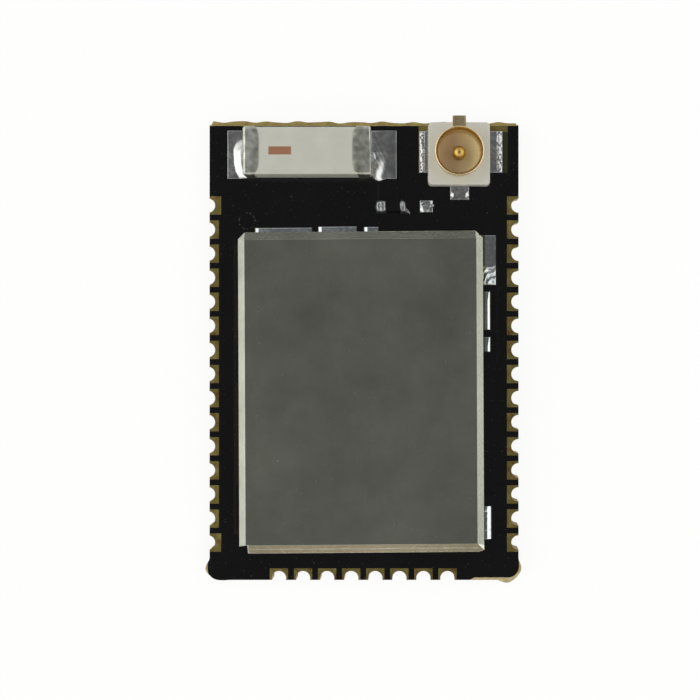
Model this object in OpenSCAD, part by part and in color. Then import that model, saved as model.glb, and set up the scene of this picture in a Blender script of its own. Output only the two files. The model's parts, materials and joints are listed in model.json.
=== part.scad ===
// Surface-mount wireless module: a small black board with plated half holes along three edges,
// a folded metal shield over its radio, a ceramic chip antenna and a push-on coaxial socket.
// Millimetres. +X runs across the board, +Y towards the antenna end, +Z up from the parts' side.
// The origin is the middle of the board's underside.

/* [Board] */
// Width across the two rows of side contacts
board_w = 12.9; // [12.6:0.1:14]
// Length of the strip that carries the antenna, from the shield to the snapped edge
antenna_strip = 4.62; // [4.3:0.02:6]
// Thickness of the board
board_t = 0.8; // [0.6:0.1:1.6]
// Width of the slope that the score left beside the snapped edge
score_w = 0.14; // [0.1:0.02:0.24]
// Depth of the score in each face
score_depth = 0.26; // [0.1:0.02:0.28]
// Height of the waves along the snapped edge
snap_wave = 0.05; // [0.01:0.01:0.09]
// How far the snapped edge stands out past the board's end on the whole
snap_out = 0.05; // [0:0.01:0.08]
// How much further the snapped edge stands out at its left end than at its right end
snap_slant = 0.06; // [0:0.02:0.12]
// Bevel at the two ends of the snapped edge
snap_corner = 0.1; // [0.05:0.05:0.4]
// Size of each corner that a break-off tab held
tab_corner = 0.9; // [0.5:0.1:1]
// How square the corners are: 2 is a round corner, and more is squarer
tab_squareness = 6; // [2:0.5:10]
// How far the left tab's stump stands out past the board's side and its end
left_stump = [0.19, 0.02]; // [0:0.01:0.2]
// How far the right tab's stump stands out past the board's side and its end
right_stump = [0.13, 0.13]; // [0:0.01:0.2]

/* [Edge contacts] */
// Distance from one contact to the next
contact_pitch = 1; // [0.9:0.05:1.27]
// Diameter of each half hole
hole_d = 0.6; // [0.4:0.02:0.62]
// How far the left edge is cut in past the middle of its half holes
left_cut = 0.07; // [0:0.01:0.1]
// How far the board's end stands out past the middle of its half holes
end_spare = 0.07; // [0:0.01:0.1]
// Thickness of the plating in the holes and of every land
plating_t = 0.05; // [0.03:0.01:0.06]
// Length of a contact's lands along the edge
contact_w = 0.76; // [0.76:0.02:0.84]
// Reach of a contact's land onto the upper face
contact_upper = 0.48; // [0.42:0.02:0.6]
// Reach of a contact's land onto the underside
contact_under = 0.9; // [0.6:0.05:1.2]
// Distance from the snapped edge to the first side contact
contact_lead = 3.45; // [3:0.05:6]
// Least distance from the last side contact to the board's end
contact_tail = 1.5; // [1.4:0.05:3]
// Least distance from the outermost end contact to the board's side
end_margin = 2.9; // [1.8:0.05:4]
// Width of the square ground pad on the underside
ground_pad_w = 5; // [3:0.1:7]
// Bevel that marks the ground pad's first corner
ground_pad_bevel = 0.6; // [0.2:0.1:1.2]

/* [Shield] */
// Width of the shield
shield_w = 10; // [9:0.1:10.1]
// Length of the shield
shield_l = 13.06; // [11.5:0.02:13.3]
// Height of the shield above the board
shield_h = 1.6; // [1.4:0.1:3]
// Thickness of the shield's sheet
shield_t = 0.2; // [0.1:0.02:0.26]
// Width of the slope that the press left along the shield's upper edges
edge_run = 0.34; // [0.3:0.02:0.5]
// Height of that slope
edge_drop = 0.3; // [0.2:0.02:0.4]
// Distance from the board's end to the shield
shield_gap = 1.32; // [1:0.02:1.7]
// Height of the slots between the shield's feet
foot_h = 0.2; // [0.1:0.02:0.3]
// Reach of a foot's land inside the shield's wall
foot_land_in = 0.1; // [0.05:0.05:0.3]
// Height that the solder climbs up a foot
shield_climb = 0.42; // [0.2:0.02:0.6]

/* [Chip antenna] */
// Distance from the antenna to the socket's axis
antenna_to_socket = 3.61; // [3.1:0.01:4.2]
// Width of the antenna
antenna_w = 2; // [1.4:0.1:2.2]
// Height of the antenna
antenna_h = 1.1; // [0.8:0.1:1.4]
// Radius along the antenna's long edges
antenna_edge_r = 0.1; // [0.06:0.01:0.2]
// Length of the left end cap along the antenna
left_wrap = 0.55; // [0.35:0.05:0.9]
// Length of the right end cap along the antenna
right_wrap = 0.7; // [0.35:0.05:0.9]
// Bow of an end cap's inner edge
wrap_bow = 0.12; // [0.04:0.02:0.2]
// Thickness of the end caps' metal
cap_t = 0.03; // [0.02:0.01:0.05]
// Distance from the snapped edge to the antenna
antenna_gap = 0.34; // [0.26:0.02:0.6]
// Distance from the board's left side to the antenna
antenna_side = 1.6; // [1.2:0.05:1.8]
// Reach of the left land past the antenna
left_land = 0.78; // [0.4:0.02:0.9]
// Reach of the right land past the antenna
right_land = 1.03; // [0.4:0.02:1.2]
// Height that the solder climbs up the antenna's ends
antenna_climb = 0.6; // [0.3:0.02:0.7]

/* [Coaxial socket] */
// Width of the square housing
housing_w = 2.6; // [2.4:0.05:2.7]
// Height of the housing
housing_h = 0.38; // [0.34:0.02:0.5]
// Radius of the housing's corners
housing_r = 0.14; // [0.06:0.02:0.3]
// Outside diameter of the shell's ring
ring_d = 2; // [1.8:0.02:2.1]
// Wall of the ring
ring_wall = 0.1; // [0.07:0.01:0.13]
// Height of the ring above the board
socket_h = 1.25; // [1.1:0.05:1.6]
// Depth of the snap groove round the ring
groove_depth = 0.03; // [0.01:0.01:0.04]
// Height of the snap groove
groove_h = 0.24; // [0.1:0.02:0.4]
// Bevel on the rim of the ring
rim_bevel = 0.03; // [0.01:0.005:0.03]
// Thickness of the shell's tabs and of the signal tail
blade_t = 0.1; // [0.06:0.01:0.12]
// Height of the ring's foot above the tail that passes under it
ring_clear = 0.05; // [0.02:0.01:0.08]
// Width of each ground tab
ground_tab_w = 1.5; // [1.2:0.05:1.6]
// Reach of each ground tab past the housing
ground_tab_out = 0.24; // [0.1:0.02:0.3]
// Distance from the socket's axis back to the middle of the ground tabs
ground_tab_shift = 0.1; // [0:0.02:0.1]
// Width of each strip that joins the ring to a ground tab
riser_w = 0.9; // [0.5:0.05:1]
// Width of the rear tab
rear_tab_w = 0.57; // [0.3:0.01:0.8]
// Reach of the rear tab past the housing
rear_tab_out = 0.3; // [0.1:0.02:0.4]
// Diameter of the centre pin
pin_d = 0.54; // [0.4:0.02:0.6]
// Height of the centre pin above the board
pin_h = 0.95; // [0.75:0.05:1]
// Width of the signal tail
tail_w = 0.45; // [0.3:0.02:0.6]
// Reach of the signal tail past the housing
tail_out = 0.38; // [0.2:0.02:0.5]
// Length of the solder's slope round the tabs and the tail
tab_fillet = 0.1; // [0.1:0.02:0.2]
// How much further the right ground land reaches than the left one
right_more = 0.16; // [0:0.02:0.2]
// How much further the strip of the right ground land reaches that lies behind the socket's tab
right_strip = 0.38; // [0.2:0.02:0.4]
// Distance from the snapped edge to the socket's axis
socket_gap = 1.37; // [1.3:0.01:1.6]
// Distance from the board's right side to the socket's axis
socket_side = 2.49; // [2.4:0.01:2.6]

/* [Small parts] */
// Length of a small chip part
small_l = 1; // [0.8:0.05:1.1]
// Width of a small chip part
small_w = 0.5; // [0.4:0.05:0.6]
// Height of a chip resistor
resistor_h = 0.35; // [0.3:0.05:0.5]
// Height of a chip capacitor or coil
capacitor_h = 0.5; // [0.3:0.05:0.7]
// Length of a small part's end caps along it
small_wrap = 0.25; // [0.15:0.01:0.3]
// Reach of a small part's lands past its ends
small_land = 0.25; // [0.2:0.01:0.28]
// Height that the solder climbs up a small part
small_climb = 0.26; // [0.1:0.02:0.3]
// Distance from the socket's axis across to the link resistor
link_across = 2.72; // [2.6:0.02:2.9]
// Distance from the socket's axis forward to the link resistor
link_ahead = 2.13; // [2.1:0.01:2.2]
// Distance from the link resistor to the spare land
spare_across = 1.38; // [1.36:0.02:1.5]
// Height of the solder on the spare land
spare_solder_h = 0.14; // [0.06:0.02:0.2]

/* [Radio chip] */
// Width of the square chip
chip_w = 7; // [5:0.1:7.4]
// Height of the chip's moulding
chip_h = 0.88; // [0.6:0.02:0.9]
// Distance from one lead to the next
lead_pitch = 0.5; // [0.4:0.05:0.65]
// Length of a lead under the chip's edge
lead_l = 0.4; // [0.3:0.05:0.6]
// Width of a lead
lead_w = 0.25; // [0.15:0.01:0.3]
// Thickness of the leads and of the middle pad
lead_t = 0.04; // [0.02:0.01:0.1]
// Least distance from a corner of the chip to a lead
lead_margin = 0.75; // [0.7:0.05:1.2]
// Distance from the leads to the middle pad
pad_clear = 0.4; // [0.2:0.05:0.8]
// Diameter of the dimple that marks the first lead
dimple_d = 0.5; // [0.2:0.05:0.8]
// Depth of that dimple
dimple_depth = 0.05; // [0.02:0.01:0.1]
// Distance from the chip's side to the middle of a row of small parts
row_gap = 0.75; // [0.6:0.05:0.9]
// Distance from one small part in a row to the next
row_pitch = 1.7; // [1.65:0.05:1.75]

/* [Hidden] */
$fn = 48;

// How far a cutting shape runs past the face that it cuts
over = 0.2;
// Strip of land left round what is soldered to it
land_margin = 0.02;

// The board is as long as the shield and the strips at its two ends
board_l = shield_gap + shield_l + antenna_strip;
// The antenna takes the width that the socket leaves
antenna_l = board_w - antenna_side - antenna_to_socket - socket_side;

// Places along the board
snap_y = board_l / 2;
score_y = snap_y - score_w;
end_y = -board_l / 2;
shield_y = end_y + shield_gap + shield_l / 2;

// Waves that add up to the snapped edge: [share of the height, degrees for each millimetre, start]
snap_waves = [[0.55, 300, 195], [0.25, 131, 20], [0.2, 517, 75]];
snap_step = 0.12;
stump_step = 5;

barrel_d = hole_d + 2 * plating_t;
side_count = floor((board_l - contact_lead - contact_tail) / contact_pitch) + 1;
end_count = floor((board_w - 2 * end_margin) / contact_pitch) + 1;

// Feet along each wall of the shield: [distance from the wall's near end, length, reach of the solder].
// A far list is measured from the wall's other end. The walls at the antenna end and at the board's
// end run from left to right, and the two side walls run from the antenna end.
antenna_end_feet = [[0.5, 2.37, 0.3], [3.12, 1.6, 0.3], [5.02, 0.6, 0.3]];
antenna_end_far_feet = [];
right_feet = [[0.12, 2, 0.53], [2.41, 1.59, 0.3], [4.29, 0.62, 0.3]];
right_far_feet = [[0.38, 1.34, 0.37]];
board_end_feet = [[0.8, 1.8, 0.26]];
board_end_far_feet = [[4, 1.8, 0.26], [0.8, 1.8, 0.26]];
left_feet = [[0.8, 1.8, 0.26], [4.6, 1.6, 0.26]];
left_far_feet = [[0.8, 1.8, 0.26]];
WALLS = ["antenna_end", "right", "board_end", "left"];
// Slanting cut at three of the shield's corners: [side, end, size], and the open notch at the fourth
shield_clips = [[-1, 1, 0.25], [1, 1, 0.25], [1, -1, 0.08]];
shield_notch = [0.34, 0.3];

// Places of the antenna, the socket, the link resistor and the spare land
antenna_x = -board_w / 2 + antenna_side + antenna_l / 2;
antenna_y = snap_y - antenna_gap - antenna_w / 2;
socket_x = board_w / 2 - socket_side;
socket_y = snap_y - socket_gap;
link_x = socket_x - link_across;
link_y = socket_y - link_ahead;
spare_x = link_x + spare_across;

// The ring stops above the signal tail, and the plastic runs on under it
ring_foot = blade_t + ring_clear;
groove_z = (housing_h + socket_h) / 2;
ground_tab_y = socket_y + ground_tab_shift;

// Rows of small parts inside the shield, one on each side of the chip
antenna_row_y = shield_y + chip_w / 2 + row_gap;
end_row_y = shield_y - chip_w / 2 - row_gap;
supply_places = [for (i = [-1.5:1:1.5]) [i * row_pitch, end_row_y]];
matching_capacitor_places = [for (i = [-1, 1]) [i * row_pitch, antenna_row_y]];
matching_coil_places = [[0, antenna_row_y]];
pull_up_places = [for (i = [-2, 2]) [i * row_pitch, antenna_row_y]];
link_places = [[link_x, link_y]];
small_places = concat(supply_places, matching_capacitor_places, matching_coil_places,
    pull_up_places, link_places);

lead_count = floor((chip_w - 2 * lead_margin) / lead_pitch) + 1;
chip_pad_w = chip_w - 2 * (lead_l + pad_clear);

mask_black = "#17171a";
land_gold = "#8a7540";
shell_gold = "#c9a55f";
solder_grey = "#b9bcb8";
tin_grey = "#8b8d84";
sheet_grey = "#7d7f78";
cream = "#c4c2b4";
coil_white = "#d5d8d2";
capacitor_tan = "#a98c66";
chip_black = "#222224";

// Offset of the snapped edge at x, as a slant and a sum of waves
function snap_offset(x, i = 0) =
    i == len(snap_waves) ? snap_out - snap_slant * x / board_w
    : snap_wave * snap_waves[i][0] * sin(snap_waves[i][1] * x + snap_waves[i][2])
        + snap_offset(x, i + 1);

function side_contact_y(i) = snap_y - contact_lead - i * contact_pitch;
function end_contact_x(i) = (i - (end_count - 1) / 2) * contact_pitch;

// Section of a solder fillet: a hollow quarter curve from the land up to the wall
function meniscus(foot, rise) =
    concat([[0, 0]], [for (t = [0:15:90]) [foot * (1 - sin(t)), rise * (1 - cos(t))]]);

function wall_length(wall) =
    wall == "antenna_end" || wall == "board_end" ? shield_w : shield_l;

function from_far_end(wall, feet) =
    [for (f = feet) [wall_length(wall) - f[0] - f[1], f[1], f[2]]];

// Feet of one wall, all measured from its near end
function feet_of(wall) =
    wall == "antenna_end" ? concat(antenna_end_feet, from_far_end(wall, antenna_end_far_feet))
    : wall == "right" ? concat(right_feet, from_far_end(wall, right_far_feet))
    : wall == "board_end" ? concat(board_end_feet, from_far_end(wall, board_end_far_feet))
    : concat(left_feet, from_far_end(wall, left_far_feet));

// Solder along a straight wall: it runs along +X, leans out along +Y and climbs the wall at y = 0
module solder_strip(length, foot, rise) {
    rotate([90, 0, 90])
        linear_extrude(length)
            polygon(meniscus(foot, rise));
}

// Solder round a tab that ends at y = 0 and comes from -Y: its end, its two sides and its corners
module solder_skirt(width, depth, foot, rise) {
    translate([-width / 2, 0, 0])
        solder_strip(width, foot, rise);
    for (side = [0, 1])
        mirror([side, 0, 0])
            translate([width / 2, 0, 0]) {
                rotate(-90)
                    solder_strip(depth, foot, rise);
                rotate_extrude(angle = 90)
                    polygon(meniscus(foot, rise));
            }
}

module rounded_square(width, r) {
    square([width, width - 2 * r], center = true);
    square([width - 2 * r, width], center = true);
    for (x = [-1, 1], y = [-1, 1])
        translate([x, y] * (width / 2 - r))
            circle(r);
}

// Bar along X with round long edges, standing on z = 0
module rounded_bar(length, width, height, r) {
    translate([-length / 2, 0, height / 2])
        rotate([90, 0, 90])
            linear_extrude(length) {
                square([width, height - 2 * r], center = true);
                square([width - 2 * r, height], center = true);
                for (x = [-1, 1], y = [-1, 1])
                    translate([x * (width / 2 - r), y * (height / 2 - r)])
                        circle(r);
            }
}

// Edge contacts: the board's edge is at x = 0 and the board lies on the -X side
module contact_land(reach, z) {
    translate([-reach, -contact_w / 2, z])
        cube([reach, contact_w, plating_t]);
}

// One C-shaped contact: the upper land, the barrel and the land underneath. The hole's middle lies outside
// the edge by the distance past.
module contact(past = 0) {
    difference() {
        union() {
            intersection() {
                translate([past, 0, 0])
                    cylinder(d = barrel_d, h = board_t);
                translate([-barrel_d, -barrel_d, 0])
                    cube([barrel_d, 2 * barrel_d, board_t]);
            }
            contact_land(contact_upper, board_t - plating_t);
            contact_land(contact_under, 0);
        }
        translate([past, 0, -over])
            cylinder(d = hole_d, h = board_t + 2 * over);
    }
}

// What the board gives up for one contact
module contact_seat(past = 0) {
    translate([past, 0, -over])
        cylinder(d = barrel_d, h = board_t + 2 * over);
    translate([-contact_upper, -contact_w / 2, board_t - plating_t])
        cube([contact_upper + over, contact_w, plating_t + over]);
    translate([-contact_under, -contact_w / 2, -over])
        cube([contact_under + over, contact_w, plating_t + over]);
}

module at_right_contacts() {
    for (i = [0:side_count - 1])
        translate([board_w / 2, side_contact_y(i), 0])
            children();
}

module at_left_contacts() {
    for (i = [0:side_count - 1])
        translate([left_cut - board_w / 2, side_contact_y(i), 0])
            rotate(180)
                children();
}

module at_end_contacts() {
    for (i = [0:end_count - 1])
        translate([end_contact_x(i), end_y, 0])
            rotate(-90)
                children();
}

// Reach of a corner at angle a: a superellipse, with a swelling on the side and one on the end
function stump_reach(a, stump) =
    tab_corner / pow(pow(cos(a), tab_squareness) + pow(sin(a), tab_squareness), 1 / tab_squareness)
        + (a < 45 ? stump[0] : stump[1]) * pow(sin(4 * a), 2);

// Stump of a break-off tab, as a sector of the board's corner
module tab_stump(stump) {
    translate([board_w / 2 - tab_corner, end_y + tab_corner])
        polygon(concat([[0, 0]],
            [for (a = [0:stump_step:90]) stump_reach(a, stump) * [cos(a), -sin(a)]]));
}

module board_plan() {
    difference() {
        translate([left_cut - board_w / 2, end_y])
            square([board_w - left_cut, score_y - end_y]);
        translate([left_cut - board_w / 2, end_y])
            square(2 * tab_corner, center = true);
        translate([board_w / 2, end_y])
            square(2 * tab_corner, center = true);
    }
    tab_stump(right_stump);
    translate([left_cut, 0])
        mirror([1, 0])
            tab_stump(left_stump);
}

// Slopes of the score on both faces, and the snapped web between them
module snapped_edge() {
    web_y = snap_y - snap_wave;
    left_x = left_cut - board_w / 2;
    translate([left_x, 0, 0])
        rotate([90, 0, 90])
            linear_extrude(board_w - left_cut)
                polygon([
                    [score_y - over, 0], [score_y, 0], [web_y, score_depth],
                    [web_y, board_t - score_depth], [score_y, board_t], [score_y - over, board_t]
                ]);
    first = left_x + snap_corner;
    span = board_w / 2 - snap_corner - first;
    steps = round(span / snap_step);
    translate([0, 0, score_depth])
        linear_extrude(board_t - 2 * score_depth)
            polygon(concat([[board_w / 2, score_y - over], [left_x, score_y - over], [left_x, score_y]],
                [for (i = [0:steps]) let (x = first + span * i / steps) [x, snap_y + snap_offset(x)]],
                [[board_w / 2, score_y]]));
}

// Moves what is drawn along +X and out along +Y to the outer face of one of the shield's walls
module on_wall(wall) {
    if (wall == "antenna_end")
        translate([-shield_w / 2, shield_y + shield_l / 2])
            children();
    if (wall == "right")
        translate([shield_w / 2, shield_y + shield_l / 2])
            rotate(-90)
                children();
    if (wall == "board_end")
        translate([-shield_w / 2, shield_y - shield_l / 2])
            mirror([0, 1])
                children();
    if (wall == "left")
        mirror([1, 0])
            translate([shield_w / 2, shield_y + shield_l / 2])
                rotate(-90)
                    children();
}

module at_chip_leads() {
    for (turn = [0:90:270])
        translate([0, shield_y])
            rotate(turn)
                for (i = [0:lead_count - 1])
                    translate([(i - (lead_count - 1) / 2) * lead_pitch, chip_w / 2 - lead_l / 2])
                        children();
}

module at_places(places) {
    for (place = places)
        translate(place)
            children();
}

// Plan of every land on the upper face, apart from the edge contacts
module land_plan() {
    translate([antenna_x - antenna_l / 2 - left_land, antenna_y - antenna_w / 2])
        square([left_land + left_wrap, antenna_w]);
    translate([antenna_x + antenna_l / 2 - right_wrap, antenna_y - antenna_w / 2])
        square([right_land + right_wrap, antenna_w]);
    ground_reach = housing_w / 2 + ground_tab_out + tab_fillet + land_margin;
    ground_low = ground_tab_y - ground_tab_w / 2 - tab_fillet - land_margin;
    ground_high = ground_tab_y + ground_tab_w / 2 + tab_fillet + land_margin;
    strip = max(land_margin, score_y - land_margin - ground_high);
    for (side = [0, 1])
        translate([socket_x, ground_low])
            mirror([1 - side, 0])
                translate([ring_d / 2, 0]) {
                    square([ground_reach + side * right_more - ring_d / 2, ground_high + strip - ground_low]);
                    translate([0, ground_high - ground_low])
                        square([ground_reach + side * right_strip - ring_d / 2, strip]);
                }
    signal_w = tail_w + 2 * (tab_fillet + land_margin);
    signal_l = tail_out + tab_fillet + land_margin;
    translate([socket_x - signal_w / 2, socket_y - housing_w / 2 - signal_l])
        square([signal_w, signal_l]);
    translate([spare_x, link_y])
        square([small_wrap + small_land + 2 * land_margin, small_w], center = true);
    at_places(small_places)
        for (side = [-1, 1])
            translate([side * (small_l + small_land - small_wrap) / 2, 0])
                square([small_land + small_wrap, small_w], center = true);
    at_chip_leads()
        square([lead_w, lead_l], center = true);
    translate([0, shield_y])
        square(chip_pad_w, center = true);
    for (wall = WALLS)
        on_wall(wall)
            for (f = feet_of(wall))
                translate([f[0], -shield_t - foot_land_in])
                    square([f[1], shield_t + foot_land_in + f[2] + land_margin]);
}

module ground_pad_plan() {
    half = ground_pad_w / 2;
    translate([0, shield_y])
        polygon([
            [-half, -half], [half, -half], [half, half],
            [ground_pad_bevel - half, half], [-half, half - ground_pad_bevel]
        ]);
}

module circuit_board() {
    color(mask_black)
        difference() {
            union() {
                linear_extrude(board_t)
                    board_plan();
                snapped_edge();
            }
            at_left_contacts()
                contact_seat(left_cut);
            at_right_contacts()
                contact_seat();
            at_end_contacts()
                contact_seat(-end_spare);
            translate([0, 0, board_t - plating_t])
                linear_extrude(plating_t + over)
                    land_plan();
            translate([0, 0, -over])
                linear_extrude(plating_t + over)
                    ground_pad_plan();
        }
}

module left_contacts() {
    color(land_gold)
        at_left_contacts()
            contact(left_cut);
}

module right_contacts() {
    color(land_gold)
        at_right_contacts()
            contact();
}

module end_contacts() {
    color(land_gold)
        at_end_contacts()
            contact(-end_spare);
}

module component_lands() {
    color(land_gold)
        translate([0, 0, board_t - plating_t])
            linear_extrude(plating_t)
                land_plan();
}

module underside_ground_pad() {
    color(land_gold)
        linear_extrude(plating_t)
            ground_pad_plan();
}

// Outline of the shield across one pair of walls, standing on y = 0. It lies inset inside the outer face,
// and its slopes stay parallel to the outer ones.
module fold_outline(span, inset) {
    slope = norm([edge_run, edge_drop]);
    side = span / 2 - inset;
    top = shield_h - inset;
    shoulder = span / 2 - edge_run - inset * (slope - edge_run) / edge_drop;
    wall_top = shield_h - edge_drop - inset * (slope - edge_drop) / edge_run;
    polygon([[-side, 0], [side, 0], [side, wall_top], [shoulder, top], [-shoulder, top], [-side, wall_top]]);
}

// Space inside the shield's four walls, where the slopes meet in mitres
module folded_box(inset) {
    intersection() {
        rotate([90, 0, 0])
            linear_extrude(shield_l - 2 * inset, center = true)
                fold_outline(shield_w, inset);
        rotate([90, 0, 90])
            linear_extrude(shield_w - 2 * inset, center = true)
                fold_outline(shield_l, inset);
    }
}

// Moves what is drawn at the origin to a corner of the shield, so that -X and -Y run along its two walls
module at_shield_corner(side, end) {
    translate([side * shield_w / 2, shield_y + end * shield_l / 2, -over])
        mirror([side < 0 ? 1 : 0, 0, 0])
            mirror([0, end < 0 ? 1 : 0, 0])
                linear_extrude(shield_h + 2 * over)
                    children();
}

// One sheet with a wall folded down along each side. Three corners are cut at a slant and one is notched.
module shield_can() {
    color(sheet_grey)
        translate([0, 0, board_t])
            difference() {
                union() {
                    translate([0, shield_y, 0])
                        difference() {
                            folded_box(0);
                            folded_box(shield_t);
                            translate([-shield_w, -shield_l, -over])
                                cube([2 * shield_w, 2 * shield_l, foot_h + over]);
                        }
                    for (wall = WALLS)
                        on_wall(wall)
                            for (f = feet_of(wall))
                                translate([f[0], -shield_t, 0])
                                    cube([f[1], shield_t, 2 * foot_h]);
                }
                for (c = shield_clips)
                    at_shield_corner(c[0], c[1])
                        polygon([[-c[2], 0], [0, -c[2]], [over, -c[2]], [over, over], [-c[2], over]]);
                at_shield_corner(-1, -1)
                    square(2 * shield_notch, center = true);
            }
}

module shield_solder() {
    color(solder_grey)
        translate([0, 0, board_t])
            for (wall = WALLS)
                on_wall(wall)
                    for (f = feet_of(wall))
                        translate([f[0], 0, 0])
                            solder_strip(f[1], f[2], shield_climb);
}

module antenna_core() {
    translate([antenna_x, antenna_y, board_t + cap_t])
        rounded_bar(antenna_l - 2 * cap_t, antenna_w - 2 * cap_t, antenna_h - 2 * cap_t,
            antenna_edge_r - cap_t / 2);
}

module antenna_ceramic() {
    color(cream)
        antenna_core();
}

// Dipped end caps: the inner edge of each is the arc of a circle that bows along the antenna
module antenna_end_caps() {
    bow_r = (pow(antenna_w / 2, 2) + pow(wrap_bow, 2)) / (2 * wrap_bow);
    color(tin_grey)
        for (side = [-1, 1])
            difference() {
                intersection() {
                    translate([antenna_x, antenna_y, board_t])
                        rounded_bar(antenna_l, antenna_w, antenna_h, antenna_edge_r);
                    wrap = side < 0 ? left_wrap : right_wrap;
                    translate([antenna_x + side * (antenna_l / 2 - wrap + bow_r), antenna_y, board_t - over])
                        cylinder(r = bow_r, h = antenna_h + 2 * over, $fn = 96);
                }
                antenna_core();
            }
}

module antenna_solder() {
    color(solder_grey)
        for (side = [-1, 1])
            translate([antenna_x + side * antenna_l / 2, antenna_y + side * antenna_w / 2, board_t])
                rotate(-90 * side)
                    solder_strip(antenna_w, (side < 0 ? left_land : right_land) - land_margin,
                        antenna_climb);
}

// Moves what is drawn round the socket's axis to its place on the board
module at_socket() {
    translate([socket_x, socket_y, board_t])
        children();
}

module shell_tabs() {
    for (side = [0, 1])
        mirror([side, 0, 0])
            translate([ring_d / 2 - ring_wall, ground_tab_shift - ground_tab_w / 2, 0])
                cube([housing_w / 2 + ground_tab_out - ring_d / 2 + ring_wall, ground_tab_w, blade_t]);
    translate([-rear_tab_w / 2, ring_d / 2 - ring_wall, housing_h - blade_t])
        cube([rear_tab_w, housing_w / 2 + rear_tab_out - ring_d / 2 + ring_wall, blade_t]);
}

// Two short pieces of the ring's wall that run down to the ground tabs
module shell_risers() {
    intersection() {
        difference() {
            cylinder(d = ring_d, h = ring_foot);
            translate([0, 0, -over])
                cylinder(d = ring_d - 2 * ring_wall, h = ring_foot + 2 * over);
        }
        translate([-ring_d, -riser_w / 2, 0])
            cube([2 * ring_d, riser_w, ring_foot]);
    }
}

module signal_tail() {
    translate([-tail_w / 2, -housing_w / 2 - tail_out, 0])
        cube([tail_w, housing_w / 2 + tail_out, blade_t]);
}

module connector_housing() {
    color(cream)
        at_socket()
            difference() {
                linear_extrude(housing_h)
                    rounded_square(housing_w, housing_r);
                translate([0, 0, ring_foot])
                    difference() {
                        cylinder(d = ring_d, h = housing_h);
                        translate([0, 0, -over])
                            cylinder(d = ring_d - 2 * ring_wall, h = housing_h + 2 * over);
                    }
                shell_risers();
                shell_tabs();
                signal_tail();
                translate([0, 0, -over])
                    cylinder(d = pin_d, h = housing_h + 2 * over);
            }
}

// Section of the ring's wall, with its snap groove and its bevelled rim
module ring_section() {
    outer = ring_d / 2;
    inner = outer - ring_wall;
    polygon([
        [inner, ring_foot], [outer, ring_foot],
        [outer, groove_z - groove_h / 2],
        [outer - groove_depth, groove_z - groove_h / 2 + groove_depth],
        [outer - groove_depth, groove_z + groove_h / 2 - groove_depth],
        [outer, groove_z + groove_h / 2],
        [outer, socket_h - rim_bevel], [outer - rim_bevel, socket_h],
        [inner + rim_bevel, socket_h], [inner, socket_h - rim_bevel]
    ]);
}

module connector_shell() {
    color(shell_gold)
        at_socket() {
            rotate_extrude()
                ring_section();
            shell_risers();
            shell_tabs();
        }
}

module connector_pin() {
    color(shell_gold)
        at_socket() {
            cylinder(d = pin_d, h = pin_h - pin_d / 2);
            translate([0, 0, pin_h - pin_d / 2])
                sphere(d = pin_d);
            signal_tail();
        }
}

module connector_solder() {
    color(solder_grey)
        at_socket() {
            for (side = [-1, 1])
                translate([side * (housing_w / 2 + ground_tab_out), ground_tab_shift, 0])
                    rotate(-90 * side)
                        solder_skirt(ground_tab_w, ground_tab_out, tab_fillet, blade_t);
            translate([0, -housing_w / 2 - tail_out, 0])
                rotate(180)
                    solder_skirt(tail_w, tail_out, tab_fillet, blade_t);
        }
}

// Body of a small chip part between its end caps
module small_body(height) {
    translate([cap_t - small_l / 2, cap_t - small_w / 2, board_t + cap_t])
        cube([small_l - 2 * cap_t, small_w - 2 * cap_t, height - 2 * cap_t]);
}

module small_terminals(height) {
    for (side = [0, 1])
        mirror([side, 0, 0])
            difference() {
                translate([small_l / 2 - small_wrap, -small_w / 2, board_t])
                    cube([small_wrap, small_w, height]);
                small_body(height);
            }
}

module link_resistor() {
    color(chip_black)
        at_places(link_places)
            small_body(resistor_h);
}

module link_resistor_terminals() {
    color(tin_grey)
        at_places(link_places)
            small_terminals(resistor_h);
}

module link_resistor_solder() {
    color(solder_grey)
        at_places(link_places)
            for (side = [-1, 1])
                translate([side * small_l / 2, side * small_w / 2, board_t])
                    rotate(-90 * side)
                        solder_strip(small_w, small_land - land_margin, small_climb);
}

// Low dome of solder on the land that has no part
module spare_land_solder() {
    base_r = small_w / 2 - land_margin;
    dome_r = (pow(base_r, 2) + pow(spare_solder_h, 2)) / (2 * spare_solder_h);
    color(solder_grey)
        translate([spare_x, link_y, board_t])
            intersection() {
                translate([0, 0, spare_solder_h - dome_r])
                    sphere(r = dome_r);
                translate([-small_w, -small_w, 0])
                    cube([2 * small_w, 2 * small_w, dome_r]);
            }
}

module radio_chip() {
    dimple_at = chip_w / 2 - lead_margin;
    color(chip_black)
        translate([0, shield_y, board_t + lead_t])
            difference() {
                translate([-chip_w / 2, -chip_w / 2, 0])
                    cube([chip_w, chip_w, chip_h]);
                translate([-dimple_at, dimple_at, chip_h - dimple_depth])
                    cylinder(d = dimple_d, h = dimple_depth + over);
            }
}

module radio_chip_leads() {
    color(tin_grey)
        translate([0, 0, board_t])
            linear_extrude(lead_t)
                at_chip_leads()
                    square([lead_w, lead_l], center = true);
}

module radio_chip_pad() {
    color(tin_grey)
        translate([0, shield_y, board_t])
            linear_extrude(lead_t)
                square(chip_pad_w, center = true);
}

module supply_capacitors() {
    color(capacitor_tan)
        at_places(supply_places)
            small_body(capacitor_h);
}

module supply_capacitor_terminals() {
    color(tin_grey)
        at_places(supply_places)
            small_terminals(capacitor_h);
}

module matching_capacitors() {
    color(capacitor_tan)
        at_places(matching_capacitor_places)
            small_body(capacitor_h);
}

module matching_capacitor_terminals() {
    color(tin_grey)
        at_places(matching_capacitor_places)
            small_terminals(capacitor_h);
}

module matching_coil() {
    color(coil_white)
        at_places(matching_coil_places)
            small_body(capacitor_h);
}

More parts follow.
